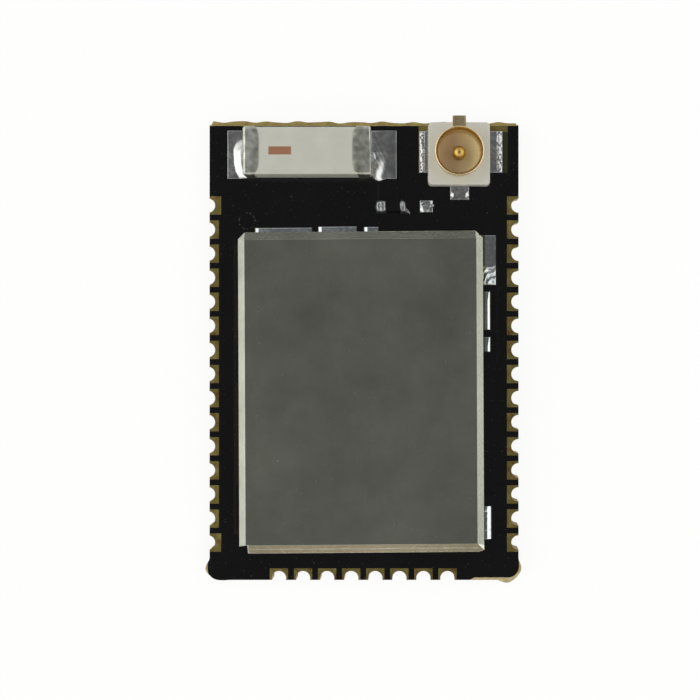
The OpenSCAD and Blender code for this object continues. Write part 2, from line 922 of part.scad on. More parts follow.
module matching_coil_terminals() {
    color(tin_grey)
        at_places(matching_coil_places)
            small_terminals(capacitor_h);
}

module pull_up_resistors() {
    color(chip_black)
        at_places(pull_up_places)
            small_body(resistor_h);
}

module pull_up_resistor_terminals() {
    color(tin_grey)
        at_places(pull_up_places)
            small_terminals(resistor_h);
}

circuit_board();
left_contacts();
right_contacts();
end_contacts();
component_lands();
underside_ground_pad();
shield_can();
shield_solder();
antenna_ceramic();
antenna_end_caps();
antenna_solder();
connector_housing();
connector_shell();
connector_pin();
connector_solder();
link_resistor();
link_resistor_terminals();
link_resistor_solder();
spare_land_solder();
radio_chip();
radio_chip_leads();
radio_chip_pad();
supply_capacitors();
supply_capacitor_terminals();
matching_capacitors();
matching_capacitor_terminals();
matching_coil();
matching_coil_terminals();
pull_up_resistors();
pull_up_resistor_terminals();
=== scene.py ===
# %% [markdown]
# # A wireless module, dressed in Blender
#
# The real object is a board no bigger than a thumbnail. It carries a folded metal shield, a ceramic
# chip antenna and a tiny gold socket. The solids come from a CAD model, which is loaded as a fixed
# frame. This lesson adds what the solids lack: light, finishes, and the parts that are never
# straight, such as solder and a snapped edge. Lengths in the code are in millimetres, and Blender
# gets metres.

# %% Load the frame
import json
from functools import partial

import bmesh
import bpy
import numpy as np
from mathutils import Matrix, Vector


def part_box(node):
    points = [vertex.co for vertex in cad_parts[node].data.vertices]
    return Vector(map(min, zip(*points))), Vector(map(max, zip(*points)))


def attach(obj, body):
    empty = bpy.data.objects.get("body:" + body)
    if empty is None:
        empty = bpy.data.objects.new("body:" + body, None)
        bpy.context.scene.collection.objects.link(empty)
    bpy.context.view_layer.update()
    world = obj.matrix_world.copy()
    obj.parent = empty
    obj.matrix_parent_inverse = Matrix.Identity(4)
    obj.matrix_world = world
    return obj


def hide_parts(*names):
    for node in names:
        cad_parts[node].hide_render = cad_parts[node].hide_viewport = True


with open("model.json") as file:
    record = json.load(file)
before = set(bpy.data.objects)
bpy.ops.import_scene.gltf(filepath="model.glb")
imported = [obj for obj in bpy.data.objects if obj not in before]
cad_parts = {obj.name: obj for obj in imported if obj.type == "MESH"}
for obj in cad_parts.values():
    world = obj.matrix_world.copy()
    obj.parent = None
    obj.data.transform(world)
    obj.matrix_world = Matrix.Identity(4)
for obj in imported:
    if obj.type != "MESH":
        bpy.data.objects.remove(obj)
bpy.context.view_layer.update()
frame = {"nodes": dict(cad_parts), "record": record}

MM = 0.001


def box_mm(node):
    """Lowest and highest corner of a CAD node, in millimetres."""
    low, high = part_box(node)
    return np.array(low) / MM, np.array(high) / MM


board_top = box_mm("circuit_board")[1][2]
shield_low, shield_high = box_mm("shield_can")
housing_low, housing_high = box_mm("connector_housing")
socket_x, socket_y = (housing_low + housing_high)[:2] / 2
print("board top at", round(board_top, 3), "mm")
print("socket axis at", round(socket_x, 3), round(socket_y, 3), "mm")

# %% [markdown]
# ## Nodes and colours
#
# Every finish below is a small tree of shader nodes. One function adds a node, sets it up and links
# it, so that a material reads as a list of what feeds what. Colours are written as they are picked
# on a screen, as sRGB hex, and one function turns them into the linear numbers that the shader
# works with.

# %% Helpers for materials
def linear(colour):
    """sRGB hex to linear RGBA: the sRGB curve undone for each channel."""
    s = np.array([int(colour[i:i + 2], 16) / 255 for i in (1, 3, 5)])
    rgb = np.where(s <= 0.04045, s / 12.92, ((s + 0.055) / 1.055) ** 2.4)
    return (*rgb.tolist(), 1.0)


def add_node(tree, kind, inputs=(), out=0, **settings):
    """Adds one node, sets it up, fills its inputs, by name or in order, with values, hex colours or
    other nodes' outputs, and returns one of its outputs, or all of them if out is None."""
    made = tree.nodes.new("ShaderNode" + kind)
    for key, value in settings.items():
        setattr(made, key, value)
    for key, value in inputs.items() if isinstance(inputs, dict) else enumerate(inputs):
        if isinstance(value, bpy.types.NodeSocket):
            tree.links.new(value, made.inputs[key])
        else:
            made.inputs[key].default_value = linear(value) if isinstance(value, str) else value
    return made.outputs if out is None else made.outputs[out]


def start_material(name, **constants):
    """A material with one Principled shader, and what adds nodes to it; underscores in the names
    stand for spaces."""
    made = bpy.data.materials.new(name)
    made.use_nodes = True
    made.node_tree.nodes.clear()
    add = partial(add_node, made.node_tree)
    surface = add("BsdfPrincipled", {key.replace("_", " "): q for key, q in constants.items()})
    add("OutputMaterial", {"Surface": surface}, out=None)
    print("material:", name)
    return made, add, surface.node, add("TexCoord", out="Object")


def wire(shader, **sockets):
    """Links outputs to the shader's inputs; underscores in the names stand for spaces."""
    for name, socket in sockets.items():
        shader.id_data.links.new(socket, shader.inputs[name.replace("_", " ")])


def sized(place, size, detail=2.0):
    """Inputs of a texture whose features are to be about that many millimetres across."""
    return {"Vector": place, "Scale": 1 / (size * MM), "Detail": detail}


def within(add, coords, box, soft=0.015):
    """1 inside a box of [low x, high x, low y, high y] in mm and 0 outside, over a soft border."""
    place, share = add("SeparateXYZ", [coords], out=None), 1.0
    for axis, low, high in (("X", box[0], box[1]), ("Y", box[2], box[3])):
        for edge, sign in ((low, 1), (high, -1)):
            border = (edge - sign * soft) * MM, (edge + sign * soft) * MM
            step = add("MapRange", [place[axis], *border])
            share = add("Math", [share, step], operation="MULTIPLY")
    return share


# Mix nodes keep their sockets for each kind of value at fixed places. Map Range nodes take a value,
# the range that it comes from and the range that it goes to.
MIX_A, MIX_B = 6, 7
COLOUR = {"out": 2, "data_type": "RGBA"}
FLOAT_A, FLOAT_B = 2, 3


def mottled(add, place, size, detail, dark, light):
    """Noise with features of that size, and the two tones mixed by it."""
    noise = add("TexNoise", sized(place, size, detail))
    return noise, add("Mix", {0: noise, MIX_A: dark, MIX_B: light}, **COLOUR)


print("linear mid grey:", round(linear("#808080")[0], 3))

# %% [markdown]
# ## Floor, light and camera
#
# The module lies on white paper inside a light tent: the walls glow and the roof has a dark opening
# that the camera looks through. Flat metal that faces the camera mirrors that opening and turns
# dark, while every bend and every bead of solder catches a bright wall. A world shader that depends
# only on direction gives this without noise: its brightness follows the height of the direction,
# and each side has its own share.

# %% Light tent
OPENING = 0.15
# Brightness of the low walls and of the lamp ring above them: left, right, front and back
LOW_WALL = (1.26, 0.82, 0.5, 0.19)
LAMP_RING = (2.3, 2.0, 1.0, 0.65)
# Heights between which the low wall turns into the ring, and the ring into the opening
WALL_TO_RING = 0.3, 0.56
RING_TO_ROOF = 0.8, 0.91
# The low front wall is warmer than the rest: headings and heights between which that sets in
WARM_HEADINGS, WARM_HEIGHTS = (-0.4, -1.0), (0.45, 0.3)

scene = bpy.context.scene
scene.view_settings.view_transform = "Standard"
world = bpy.data.worlds.new("light_tent")
world.use_nodes = True
scene.world = world
world.node_tree.nodes.clear()
add = partial(add_node, world.node_tree)
direction = add("TexCoord", out="Generated")
height = add("SeparateXYZ", [direction], out="Z")
level = add("VectorMath", [direction, (1, 1, 0)], operation="MULTIPLY")
level = add("VectorMath", [level], operation="NORMALIZE")
heading = add("SeparateXYZ", [level], out=None)


def all_round(left, right, front, back):
    """Brightness by heading: each axis blends its two sides, and the heading squared weighs it."""
    total = 0.0
    for axis, minus, plus in (("X", left, right), ("Y", front, back)):
        turn = heading[axis]
        swing, mean = (plus - minus) / 2, (plus + minus) / 2
        blend = add("Math", [turn, swing, mean], operation="MULTIPLY_ADD")
        weight = add("Math", [turn, turn], operation="MULTIPLY")
        total = add("Math", [blend, weight, total], operation="MULTIPLY_ADD")
    return total


ring_share, roof_share = (
    add("MapRange", [height, *heights], interpolation_type="SMOOTHSTEP")
    for heights in (WALL_TO_RING, RING_TO_ROOF))
brightness = add("Mix", {
    0: ring_share, FLOAT_A: all_round(*LOW_WALL), FLOAT_B: all_round(*LAMP_RING)})
brightness = add("Mix", {0: roof_share, FLOAT_A: brightness, FLOAT_B: OPENING})
front = add("MapRange", [heading["Y"], *WARM_HEADINGS], interpolation_type="SMOOTHSTEP")
warmth = add("MapRange", [height, *WARM_HEIGHTS, 0.0, front])
tint = add("Mix", {0: warmth, MIX_A: "#fffefb", MIX_B: "#ffe6c4"}, **COLOUR)
walls = add("Background", {"Color": tint, "Strength": brightness})
add("OutputWorld", {"Surface": walls}, out=None)
print("lamp ring", LAMP_RING, "opening", OPENING)

# %% Paper floor
FLOOR_HALF = 700.0
FLOOR_DROP = 0.02
corners = np.array([[-1, -1, 0], [1, -1, 0], [1, 1, 0], [-1, 1, 0]]) * FLOOR_HALF
corners[:, 2] = -FLOOR_DROP
floor_mesh = bpy.data.meshes.new("paper_floor")
floor_mesh.from_pydata((corners * MM).tolist(), [], [(0, 1, 2, 3)])
floor = bpy.data.objects.new("paper_floor", floor_mesh)
scene.collection.objects.link(floor)

# White paper that is lit from behind as well, as a product shot's is, so that it stays white around
# a faint shadow. It is seen only from above, so that the underside can be looked at too.
PAPER_GLOW = 0.9
paper_white, add, shader, _ = start_material("white_paper", Roughness=0.9, Base_Color="#fcfcfb")
glow = add("Emission", {"Color": "#ffffff", "Strength": 1.0})
seen = add("LightPath", out="Is Camera Ray")
seen = add("Math", [seen, PAPER_GLOW], operation="MULTIPLY")
lit = add("MixShader", [seen, shader.outputs[0], glow])
see_through = add("BsdfTransparent")
back = add("NewGeometry", out="Backfacing")
either = add("MixShader", [back, lit, see_through])
output = paper_white.node_tree.get_output_node("ALL")
wire(output, Surface=either)
floor_mesh.materials.append(paper_white)
print("floor", 2 * FLOOR_HALF, "mm wide")

# %% [markdown]
# The camera stands 45 mm above the board, a little to the right of its middle, and looks straight
# down. A lens shift then slides the picture until the module is in the middle, which keeps the
# board's edges square.

# %% Camera
CAMERA_FOOT = np.array([2.37, 0.67, board_top])
CAMERA_HEIGHT = 45.0
VIEW_WIDTH = 29.07
LENS_SHIFT = -0.1004, -0.0214

camera_data = bpy.data.cameras.new("camera")
camera_data.sensor_width = 36
camera_data.lens = camera_data.sensor_width * CAMERA_HEIGHT / VIEW_WIDTH
camera_data.shift_x, camera_data.shift_y = LENS_SHIFT
camera_data.clip_start = 0.001
camera_data.clip_end = 10
camera = bpy.data.objects.new("camera", camera_data)
camera.location = ((CAMERA_FOOT + [0, 0, CAMERA_HEIGHT]) * MM).tolist()
scene.collection.objects.link(camera)
scene.camera = camera
print("lens", round(camera_data.lens, 2), "mm")

# %% [markdown]
# ## The board's finish
#
# The board is woven glass in epoxy under a black mask. From above it is nearly all mask: deep
# black, half glossy, with dust in it. The tan laminate shows where the board was cut or snapped: on
# every side wall, along the scored edge, and at the corners where tabs held the board in its panel.
# One material covers both, and masks worked out from the position and from the way a face looks
# choose between them.

# %% Where the mask ends
SCORE_Y = 9.36
# Depth of the ragged line beside the score, and of the frayed one at the tabs
RAGGED, FRAYED = 0.08, 0.03
# At the lower corners the mask ends in a round line inside the stump of a tab, and on the right it
# leaves a bare lip along the board's end as well:
# [side, outline in x, outline in y, radius, where the lip starts]
STUMPS = ((1, 6.47, 9.385, 0.46, (4.25, 4.6)), (-1, 6.46, 9.56, 0.5, (6.0, 6.1)))
LIP = 0.2
# Steepness of the normal between which a side wall turns into the upper or the under face
WALL_TO_FACE = 0.6, 0.8

mask_black, add, shader, coords = start_material("black_solder_mask_over_glass_epoxy", IOR=1.5)
place = add("SeparateXYZ", [coords], out=None)
normal = add("NewGeometry", out="Normal")
up = add("SeparateXYZ", [normal], out="Z")
level = add("Math", [up], operation="ABSOLUTE")
flat = add("MapRange", [level, *WALL_TO_FACE])
ragged = add("TexNoise", sized(coords, 0.25, 3.0))
edge_y, frayed_y = (
    add("Math", [ragged, depth * MM, place["Y"]], operation="MULTIPLY_ADD")
    for depth in (RAGGED, FRAYED))
masked = add("MapRange", [edge_y, (SCORE_Y + 0.05) * MM, (SCORE_Y + 0.03) * MM])
masked = add("Math", [masked, flat], operation="MULTIPLY")
for side, out_x, out_y, radius, start in STUMPS:
    across = add("Math", [place["X"], float(side)], operation="MULTIPLY")
    lip = add("MapRange", [across, start[0] * MM, start[1] * MM,
                           (radius - out_y - LIP) * MM, (radius - out_y) * MM])
    along = add("Math", [frayed_y, -1.0, lip], operation="MULTIPLY_ADD")
    across = add("Math", [across, (radius - out_x) * MM])
    total = 0.0
    for part in (across, along):
        part = add("Math", [part, 0.0], operation="MAXIMUM")
        total = add("Math", [part, part, total], operation="MULTIPLY_ADD")
    reach = add("Math", [total], operation="SQRT")
    bare = add("MapRange", [reach, (radius - 0.01) * MM, (radius + 0.01) * MM])
    masked = add("Math", [masked, bare], operation="SUBTRACT", use_clamp=True)
print("stumps of tabs:", len(STUMPS))

# %% Black mask, copper under it, and dust
# Copper shows under thin mask as a hint of traces, and beside the socket the mask is tinted dark
# olive: box, tone, share
TRACES = (
    ((5.78, 6.0, 7.4, 9.15), "#2f3220", 0.9), ((-5.37, -5.1, -7.6, 4.4), "#2a2410", 0.5),
    ((0.6, 0.64, 6.25, 6.95), "#2a2a2c", 0.5), ((1.0, 1.6, 5.66, 5.69), "#2a2a2c", 0.4),
    ((5.56, 5.585, -0.5, 3.6), "#2a2a2c", 0.35))
# The mask covers a hole beside the shield's corner
HOLE, HOLE_RADIUS = (-4.82, 5.41, board_top), 0.33
# Dust lies thickest round the hole: its size, the values of its noise between which specks show,
# and what is added to the noise on the hole's rim
DUST_SIZE, SPECKS, RIM_DUST = 0.07, (0.73, 0.8), 0.24

clouds, black = mottled(add, coords, 2.5, 4.0, "#030305", "#08080c")
for box, tone, share in TRACES:
    covered = within(add, coords, box, 0.03)
    covered = add("Math", [covered, share], operation="MULTIPLY")
    black = add("Mix", {0: covered, MIX_A: black, MIX_B: tone}, **COLOUR)
scatter = add("TexNoise", sized(coords, DUST_SIZE, 1.0))
hole = [q * MM for q in HOLE]
from_hole = add("VectorMath", [coords, hole], operation="DISTANCE", out="Value")
from_ring = add("Math", [from_hole, -HOLE_RADIUS * MM])
from_ring = add("Math", [from_ring], operation="ABSOLUTE")
near_ring = add("MapRange", [from_ring, 0.05 * MM, 0.01 * MM, 0.0, RIM_DUST])
dusty = add("Math", [scatter, near_ring])
speck = add("MapRange", [dusty, *SPECKS])
black = add("Mix", {0: speck, MIX_A: black, MIX_B: "#454443"}, **COLOUR)
print("traces under the mask:", len(TRACES))

# %% Tan laminate, and the board's surface
# The stumps of the tabs were torn, which leaves them paler than the snapped edge
TORN = -8.8, -9.2

# Fibres run along the edge and are drawn 0.06 mm wide
fibres = add("Mapping", {"Vector": coords, "Scale": (0.25, 0.25, 1.0)})
fibres, tan = mottled(add, fibres, 0.06, 3.0, "#6a5a28", "#c0ac66")
pale = add("Mix", {0: fibres, MIX_A: "#8f7c4c", MIX_B: "#cfc19a"}, **COLOUR)
torn = add("MapRange", [place["Y"], TORN[0] * MM, TORN[1] * MM])
tan = add("Mix", {0: torn, MIX_A: tan, MIX_B: pale}, **COLOUR)
colour = add("Mix", {0: masked, MIX_A: tan, MIX_B: black}, **COLOUR)
rough = add("MapRange", [clouds, 0.0, 1.0, 0.1, 0.2])
rough = add("Mix", {0: masked, FLOAT_A: 0.75, FLOAT_B: rough})
grain = add("TexNoise", sized(coords, 0.12, 3.0))
bump = add("Bump", {"Height": grain, "Strength": 0.35, "Distance": 0.012 * MM})
wire(shader, Base_Color=colour, Roughness=rough, Normal=bump)
print("nodes in the board's finish:", len(mask_black.node_tree.nodes))

# %% [markdown]
# ## Plated metal
#
# Gold over nickel on the contacts and lands is thin and dull: it takes the colour of what it
# mirrors, so under the dark opening it looks olive. Tin-plated sheet is satin with a rolling grain
# along the shield. Reflowed solder is smooth and bright where there is plenty of it, softer as a
# thin film, frosted where it cooled slowly, and dull where it got too hot. All of them are metals,
# so colour goes into the base colour and the roughness does the rest.

# %% Gold plating on copper
# Boxes where mask laps over the lands: the inner ends of most contacts on the left, the link
# resistor, the shield's left and bottom walls, the front of the antenna's and the socket's lands,
# and the outer edges of the lands along the shield's top and right walls
LAPS = (
    (-6.0, -5.8, -7.45, 5.5), (0.4, 2.1, 5.6, 6.35),
    (-5.5, -5.1, -8.6, 4.6), (-5.05, 4.9, -8.75, -8.3),
    (-5.05, -4.1, 6.9, 7.25), (-0.4, 0.5, 6.9, 7.25), (2.2, 5.9, 7.2, 7.4),
    (-4.7, -2.0, 5.12, 5.5), (-2.0, -0.1, 5.165, 5.5), (-0.1, 0.75, 5.145, 5.5),
    (5.505, 5.8, 2.5, 4.95), (5.28, 5.5, -0.4, 2.6), (5.325, 5.5, -8.2, -6.0))


def gold_plating(name, pale, deep, stain, roughness, grain_size, laps=()):
    """Gold with clouds of a paler and a deeper tone, brown stains, a fine etched grain, and boxes
    that mask covers."""
    made, add, shader, coords = start_material(name, Metallic=1.0)
    clouds, colour = mottled(add, coords, 0.45, 4.0, deep, pale)
    stains = add("TexNoise", sized(coords, 0.3, 3.0))
    stained = add("MapRange", [stains, 0.5, 0.75])
    colour = add("Mix", {0: stained, MIX_A: colour, MIX_B: stain}, **COLOUR)
    rough = add("MapRange", [clouds, 0.0, 1.0, roughness - 0.1, roughness + 0.1])
    if laps:
        bare = 1.0
        for box in laps:
            lapped = within(add, coords, box)
            bare = add("Math", [bare, lapped], operation="SUBTRACT", use_clamp=True)
        colour = add("Mix", {0: bare, MIX_A: "#0a090b", MIX_B: colour}, **COLOUR)
        rough = add("Mix", {0: bare, FLOAT_A: 0.14, FLOAT_B: rough})
        wire(shader, Metallic=bare)
    grain = add("TexNoise", sized(coords, grain_size))
    bump = add("Bump", {"Height": grain, "Strength": 0.4, "Distance": 0.01 * MM})
    wire(shader, Base_Color=colour, Roughness=rough, Normal=bump)
    return made


dull_gold = gold_plating(
    "dull_gold_plating_over_nickel", "#b6ab6c", "#8d7c42", "#86603a", 0.34, 0.08, LAPS)
drawn_gold = gold_plating(
    "drawn_and_gold_plated_copper_alloy", "#efe0ba", "#e2cb98", "#d5b684", 0.26, 0.6)

# %% Tin-plated sheet steel
# Rolled sheet keeps a grain along the rolls. The real one is finer than a pixel, so it is drawn
# 0.05 mm wide.
tinplate, add, shader, coords = start_material("rolled_tin_plated_steel_sheet", Metallic=1.0)
rolls = add("Mapping", {"Vector": coords, "Scale": (1.0, 0.04, 1.0)})
rolls = add("TexNoise", sized(rolls, 0.05, 3.0))
clouds = add("TexNoise", {**sized(coords, 2.6, 8.0), "Roughness": 0.62})
tone = add("MapRange", [clouds, 0.3, 0.7])
colour = add("Mix", {0: tone, MIX_A: "#acb0a4", MIX_B: "#c8cbbe"}, **COLOUR)
rough = add("MapRange", [rolls, 0.0, 1.0, 0.15, 0.23])
scuffs = add("TexNoise", sized(coords, 0.09, 2.0))
scuffs = add("MapRange", [scuffs, 0.74, 0.82, 0.0, 0.16])
rough = add("Math", [rough, scuffs], use_clamp=True)
bump = add("Bump", {"Height": rolls, "Strength": 0.12, "Distance": 0.002 * MM})
# Pressing leaves a grain like orange peel. It is seen on the slopes only, because the flat top
# mirrors the even roof.
peel = add("TexNoise", sized(coords, 0.14, 3.0))
bump = add("Bump", {"Height": peel, "Strength": 0.5, "Distance": 0.018 * MM, "Normal": bump})
wire(shader, Base_Color=colour, Roughness=rough, Normal=bump)

# %% Reflowed tin solder
# Painted shade: the solder in the corner beside the shield's right wall is painted darker olive
# grey, where the wall shades it
PAINTED_WALL_SHADE = (4.8, 5.05, -8.3, 4.9)


def reflowed_solder(name, deep, pale, rough_low, rough_high, grain_size, grain_depth, painted_shade_box=None):
    """Tin solder with a frost of two tones; where the frost is paler the surface is rougher. A
    painted shade darkens one box if that is given."""
    made, add, shader, coords = start_material(name, Metallic=1.0)
    frost, colour = mottled(add, coords, grain_size, 4.0, deep, pale)
    # Painted shade: one box of the solder is darkened to olive grey
    if painted_shade_box:
        dark = within(add, coords, painted_shade_box, 0.025)
        colour = add("Mix", {0: dark, MIX_A: colour, MIX_B: "#868668"}, **COLOUR)
    rough = add("MapRange", [frost, 0.35, 0.7, rough_low, rough_high])
    bump = add("Bump", {"Height": frost, "Strength": 0.4, "Distance": grain_depth * MM})
    wire(shader, Base_Color=colour, Roughness=rough, Normal=bump)
    return made


solder = reflowed_solder("reflowed_tin_solder", "#acb4bb", "#d3d8da", 0.12, 0.24, 0.15, 0.005, PAINTED_WALL_SHADE)
film_solder = reflowed_solder(
    "thin_film_of_reflowed_tin_solder", "#9fa2a6", "#cfd1d0", 0.2, 0.3, 0.35, 0.008)
frosted_solder = reflowed_solder(
    "slowly_cooled_frosted_tin_solder", "#9fa2a6", "#cfd1d0", 0.22, 0.32, 0.16, 0.012)
dull_solder = reflowed_solder(
    "overheated_dull_tin_solder", "#84878b", "#acafaf", 0.32, 0.42, 0.16, 0.012)

# %% Dipped and tin-plated end caps
dipped_tin, add, shader, coords = start_material("dipped_and_tin_plated_silver", Metallic=1.0)
matte = add("TexNoise", sized(coords, 0.28, 5.0))
mottle = add("MapRange", [matte, 0.3, 0.7])
colour = add("Mix", {0: mottle, MIX_A: "#9fa298", MIX_B: "#d2d5ca"}, **COLOUR)
rough = add("MapRange", [matte, 0.0, 1.0, 0.28, 0.44])
bump = add("Bump", {"Height": matte, "Strength": 0.5, "Distance": 0.02 * MM})
wire(shader, Base_Color=colour, Roughness=rough, Normal=bump)

# %% [markdown]
# ## Ceramics and plastics
#
# The antenna is a fired ceramic block: pale grey, satin, with fine dark grains, and one printed
# brown bar that marks its fed end. The socket's body is moulded cream plastic. The chips inside the
# shield are black epoxy, and the small parts beside them are tan and white ceramic. Each gets two
# tones in clouds and a fine surface grain.

# %% Satin ceramics and moulded plastics
def two_tone(name, dark, light, cloud_size, roughness, grain_size, grain_depth, **constants):
    """A dielectric with two tones in soft clouds and a fine bump of the given grain."""
    made, add, shader, coords = start_material(name, Roughness=roughness, **constants)
    _, colour = mottled(add, coords, cloud_size, 5.0, dark, light)
    grain = add("TexNoise", sized(coords, grain_size, 3.0))
    bump = add("Bump", {"Height": grain, "Strength": 0.5, "Distance": grain_depth * MM})
    wire(shader, Base_Color=colour, Normal=bump)
    return made, add, shader, coords, colour


cream_plastic, black_epoxy, tan_ceramic, white_ceramic = (
    two_tone(name, *numbers, IOR=ior)[0] for ior, name, *numbers in (
        (1.52, "moulded_cream_plastic", "#c2c1b6", "#cfcec4", 0.7, 0.42, 0.1, 0.008),
        (1.5, "moulded_black_epoxy", "#060607", "#0c0c0d", 0.3, 0.14, 0.06, 0.004),
        (1.9, "fired_tan_ceramic", "#96784f", "#b39670", 0.3, 0.5, 0.06, 0.008),
        (1.8, "fired_white_ceramic", "#c9ccc6", "#dfe1dc", 0.3, 0.45, 0.06, 0.008)))

# %% Pale antenna ceramic with its printed bar
BAR = (-3.79, -2.87, 7.99, 8.32)
ceramic, add, shader, coords, colour = two_tone(
    "fired_pale_grey_ceramic", "#b0b2a6", "#c3c5ba", 0.8, 0.45, 0.05, 0.006, IOR=1.9)
_, brown = mottled(add, coords, 0.06, 4.0, "#7d4828", "#9c6842")
printed = add("Mix", {0: within(add, coords, BAR), MIX_A: colour, MIX_B: brown}, **COLOUR)
wire(shader, Base_Color=printed)

# %% Give every CAD node its finish
FINISHES = {
    "black_board": mask_black, "contact_gold": dull_gold, "shield_tinplate": tinplate,
    "solder": solder, "antenna_ceramic": ceramic, "tinned_cap": dipped_tin,
    "socket_plastic": cream_plastic, "socket_gold": drawn_gold, "chip_black": black_epoxy,
    "capacitor_ceramic": tan_ceramic, "coil_ceramic": white_ceramic,
}
for part in frame["record"]["subparts"]:
    shown = frame["nodes"][part["node"]]
    if not shown.material_slots:
        shown.data.materials.append(None)
    for held in shown.material_slots:
        held.material = FINISHES[part["material_slot"]]

# %% [markdown]
# ## Surfaces from grids
#
# Solder, folded sheet and dipped caps have no straight edges. Each is made here as a surface over a
# grid: two parameters run along its rows and columns, and a formula turns them into points. One
# function joins such grids into a mesh, and another gives the uneven heights that a cooled metal
# has.

# %% Helpers for surfaces
def ripple(x, y, size, seed, count=11):
    """Sum of plane waves with seeded headings, starts and lengths near the size; about -1 to 1."""
    rng = np.random.default_rng(seed)
    heading, start = rng.uniform(0, 2 * np.pi, (2, count))
    length = size * rng.uniform(0.6, 1.8, count)
    run = x[..., None] * np.cos(heading) + y[..., None] * np.sin(heading)
    return np.sin(2 * np.pi * run / length + start).sum(-1) / np.sqrt(2 * count)


def ramp(distance, width):
    """Share of the width that a distance covers, kept between 0 and 1."""
    return np.clip(distance / width, 0, 1)


def shoulder(distance, width):
    """Height share at a distance from an edge: a quarter circle over the width, then 1."""
    return np.sqrt(1 - (1 - ramp(distance, width)) ** 2)


def stations(length, edge, step):
    """Places from 0 to the length: close together near both ends, and a step apart between."""
    curve = edge * (1 - np.cos(np.linspace(0, np.pi / 2, 6)))
    count = max(2, int(round((length - 2 * edge) / step)) + 1)
    middle = np.linspace(edge, length - edge, count)
    return np.concatenate([curve[:-1], middle, (length - curve[:-1])[::-1]])


def piece(name, grids, material, replaces=(), sharp=40):
    """One mesh from grids, each given as points by row and column, whether its columns close, and
    the faces kept."""
    points, faces, start = [], [], 0
    for grid, closed, kept in grids:
        rows, columns = grid.shape[:2]
        index = start + np.arange(rows * columns).reshape(rows, columns)
        index = np.concatenate([index, index[:, :1]], axis=1) if closed else index
        quads = np.stack([index[:-1, :-1], index[:-1, 1:], index[1:, 1:], index[1:, :-1]], axis=-1)
        faces.append(quads.reshape(-1, 4) if kept is None else quads[kept])
        points.append(grid.reshape(-1, 3))
        start += rows * columns
    used, faces = np.unique(np.concatenate(faces), return_inverse=True)
    points = np.concatenate(points)[used] * MM
    mesh = bpy.data.meshes.new(name)
    mesh.from_pydata(points.tolist(), [], faces.reshape(-1, 4).tolist())
    work = bmesh.new()
    work.from_mesh(mesh)
    bmesh.ops.remove_doubles(work, verts=work.verts, dist=1e-4 * MM)
    bmesh.ops.dissolve_degenerate(work, edges=work.edges, dist=1e-5 * MM)
    bmesh.ops.recalc_face_normals(work, faces=work.faces)
    work.to_mesh(mesh)
    work.free()
    mesh.shade_smooth()
    mesh.set_sharp_from_angle(angle=np.radians(sharp))
    mesh.materials.append(material)
    made = bpy.data.objects.new(name, mesh)
    scene.collection.objects.link(made)
    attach(made, "root")
    for node in replaces:
        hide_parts(node)
    print(name, "faces:", len(mesh.polygons))
    return made


def mound(x, y, height):
    """Grids of a closed mound on the board: nil height round the patch, and a flat underside."""
    rim = np.ones(x.shape, bool)
    rim[1:-1, 1:-1] = False
    height = np.where(rim, 0.0, np.maximum(height, 0.004))
    levels = board_top + height, np.full(x.shape, board_top)
    return [(np.stack([x, y, z], -1), False, None) for z in levels]


def patch(low, high, rim, step):
    """Grid over a rectangle, and the distance of each point from its border."""
    x, y = np.meshgrid(low[0] + stations(high[0] - low[0], rim, step),
                       low[1] + stations(high[1] - low[1], rim, step), indexing="ij")
    edge = np.minimum(np.minimum(x - low[0], high[0] - x), np.minimum(y - low[1], high[1] - y))
    return x, y, edge


print("ripple at the origin:", round(float(ripple(np.zeros(1), np.zeros(1), 1.0, 1)[0]), 3))

# %% [markdown]
# ## The shield
#
# The shield is pressed from one sheet: a flat top, a slope that the die left along its edges, and
# four walls with feet. All of it is one grid. The columns run round the four walls, and the rows
# run from the middle of the top outwards and down. Each wall stops short of the corner, so the face
# that joins it to the next wall is a slanting facet. Faces are left out for the slots between the
# feet and for the one corner that stayed open, and Solidify gives the sheet its thickness.

# %% Sizes of the shield
SHEET, SLOT, SLOPE_DROP = 0.2, 0.2, 0.25
# Feet along each wall: start, length and reach of the solder. Top and bottom walls run to the
# right, side walls run down from the antenna end.
FEET = {
    "top": [(0.5, 2.37, 0.23), (3.12, 1.6, 0.265), (5.02, 0.6, 0.24)],
    "right": [(0.07, 2.09, 0.51), (2.41, 1.59, 0.265), (4.29, 0.62, 0.265), (11.3, 1.38, 0.27)],
    "bottom": [(0.8, 1.8, 0.26), (4.2, 1.8, 0.26), (7.4, 1.8, 0.26)],
    "left": [(0.8, 1.8, 0.26), (4.6, 1.6, 0.26), (10.46, 1.8, 0.26)],
}
# Width of each wall's slope, and how far the wall stops short of the corners at its start and its
# end, going round
SLOPE_RUN = {"top": 0.325, "right": 0.272, "bottom": 0.375, "left": 0.294}
CLIPS = {"top": (0.27, 0.29), "right": (0.29, 0.1), "bottom": (0.2, 0.355), "left": (0.29, 0.28)}
OPEN_AFTER = "bottom"
COLUMNS = 130
# The real shield is a hair smaller than its drawing and was soldered on a little askew
can_low, can_high = shield_low[:2] + [0.05, 0.08], shield_high[:2] - [0.085, 0.037]
shield_mid = (can_low + can_high) / 2
shield_half = (can_high - can_low) / 2
ASKEW = np.array([[1.0, 0.008], [-0.0045, 1.0]])
# The die left a faint crease along the bottom slope, and the right slope is lifted at its lower
# end: share of the run, and height in millimetres
CREASE = (0, 0.375, 0.625, 1), (0, -0.008, 0.008, 0)
LIFT, LIFT_LENGTH = 0.13, 0.36
print("shield at its walls:", (2 * shield_half).round(3).tolist(), "mm")


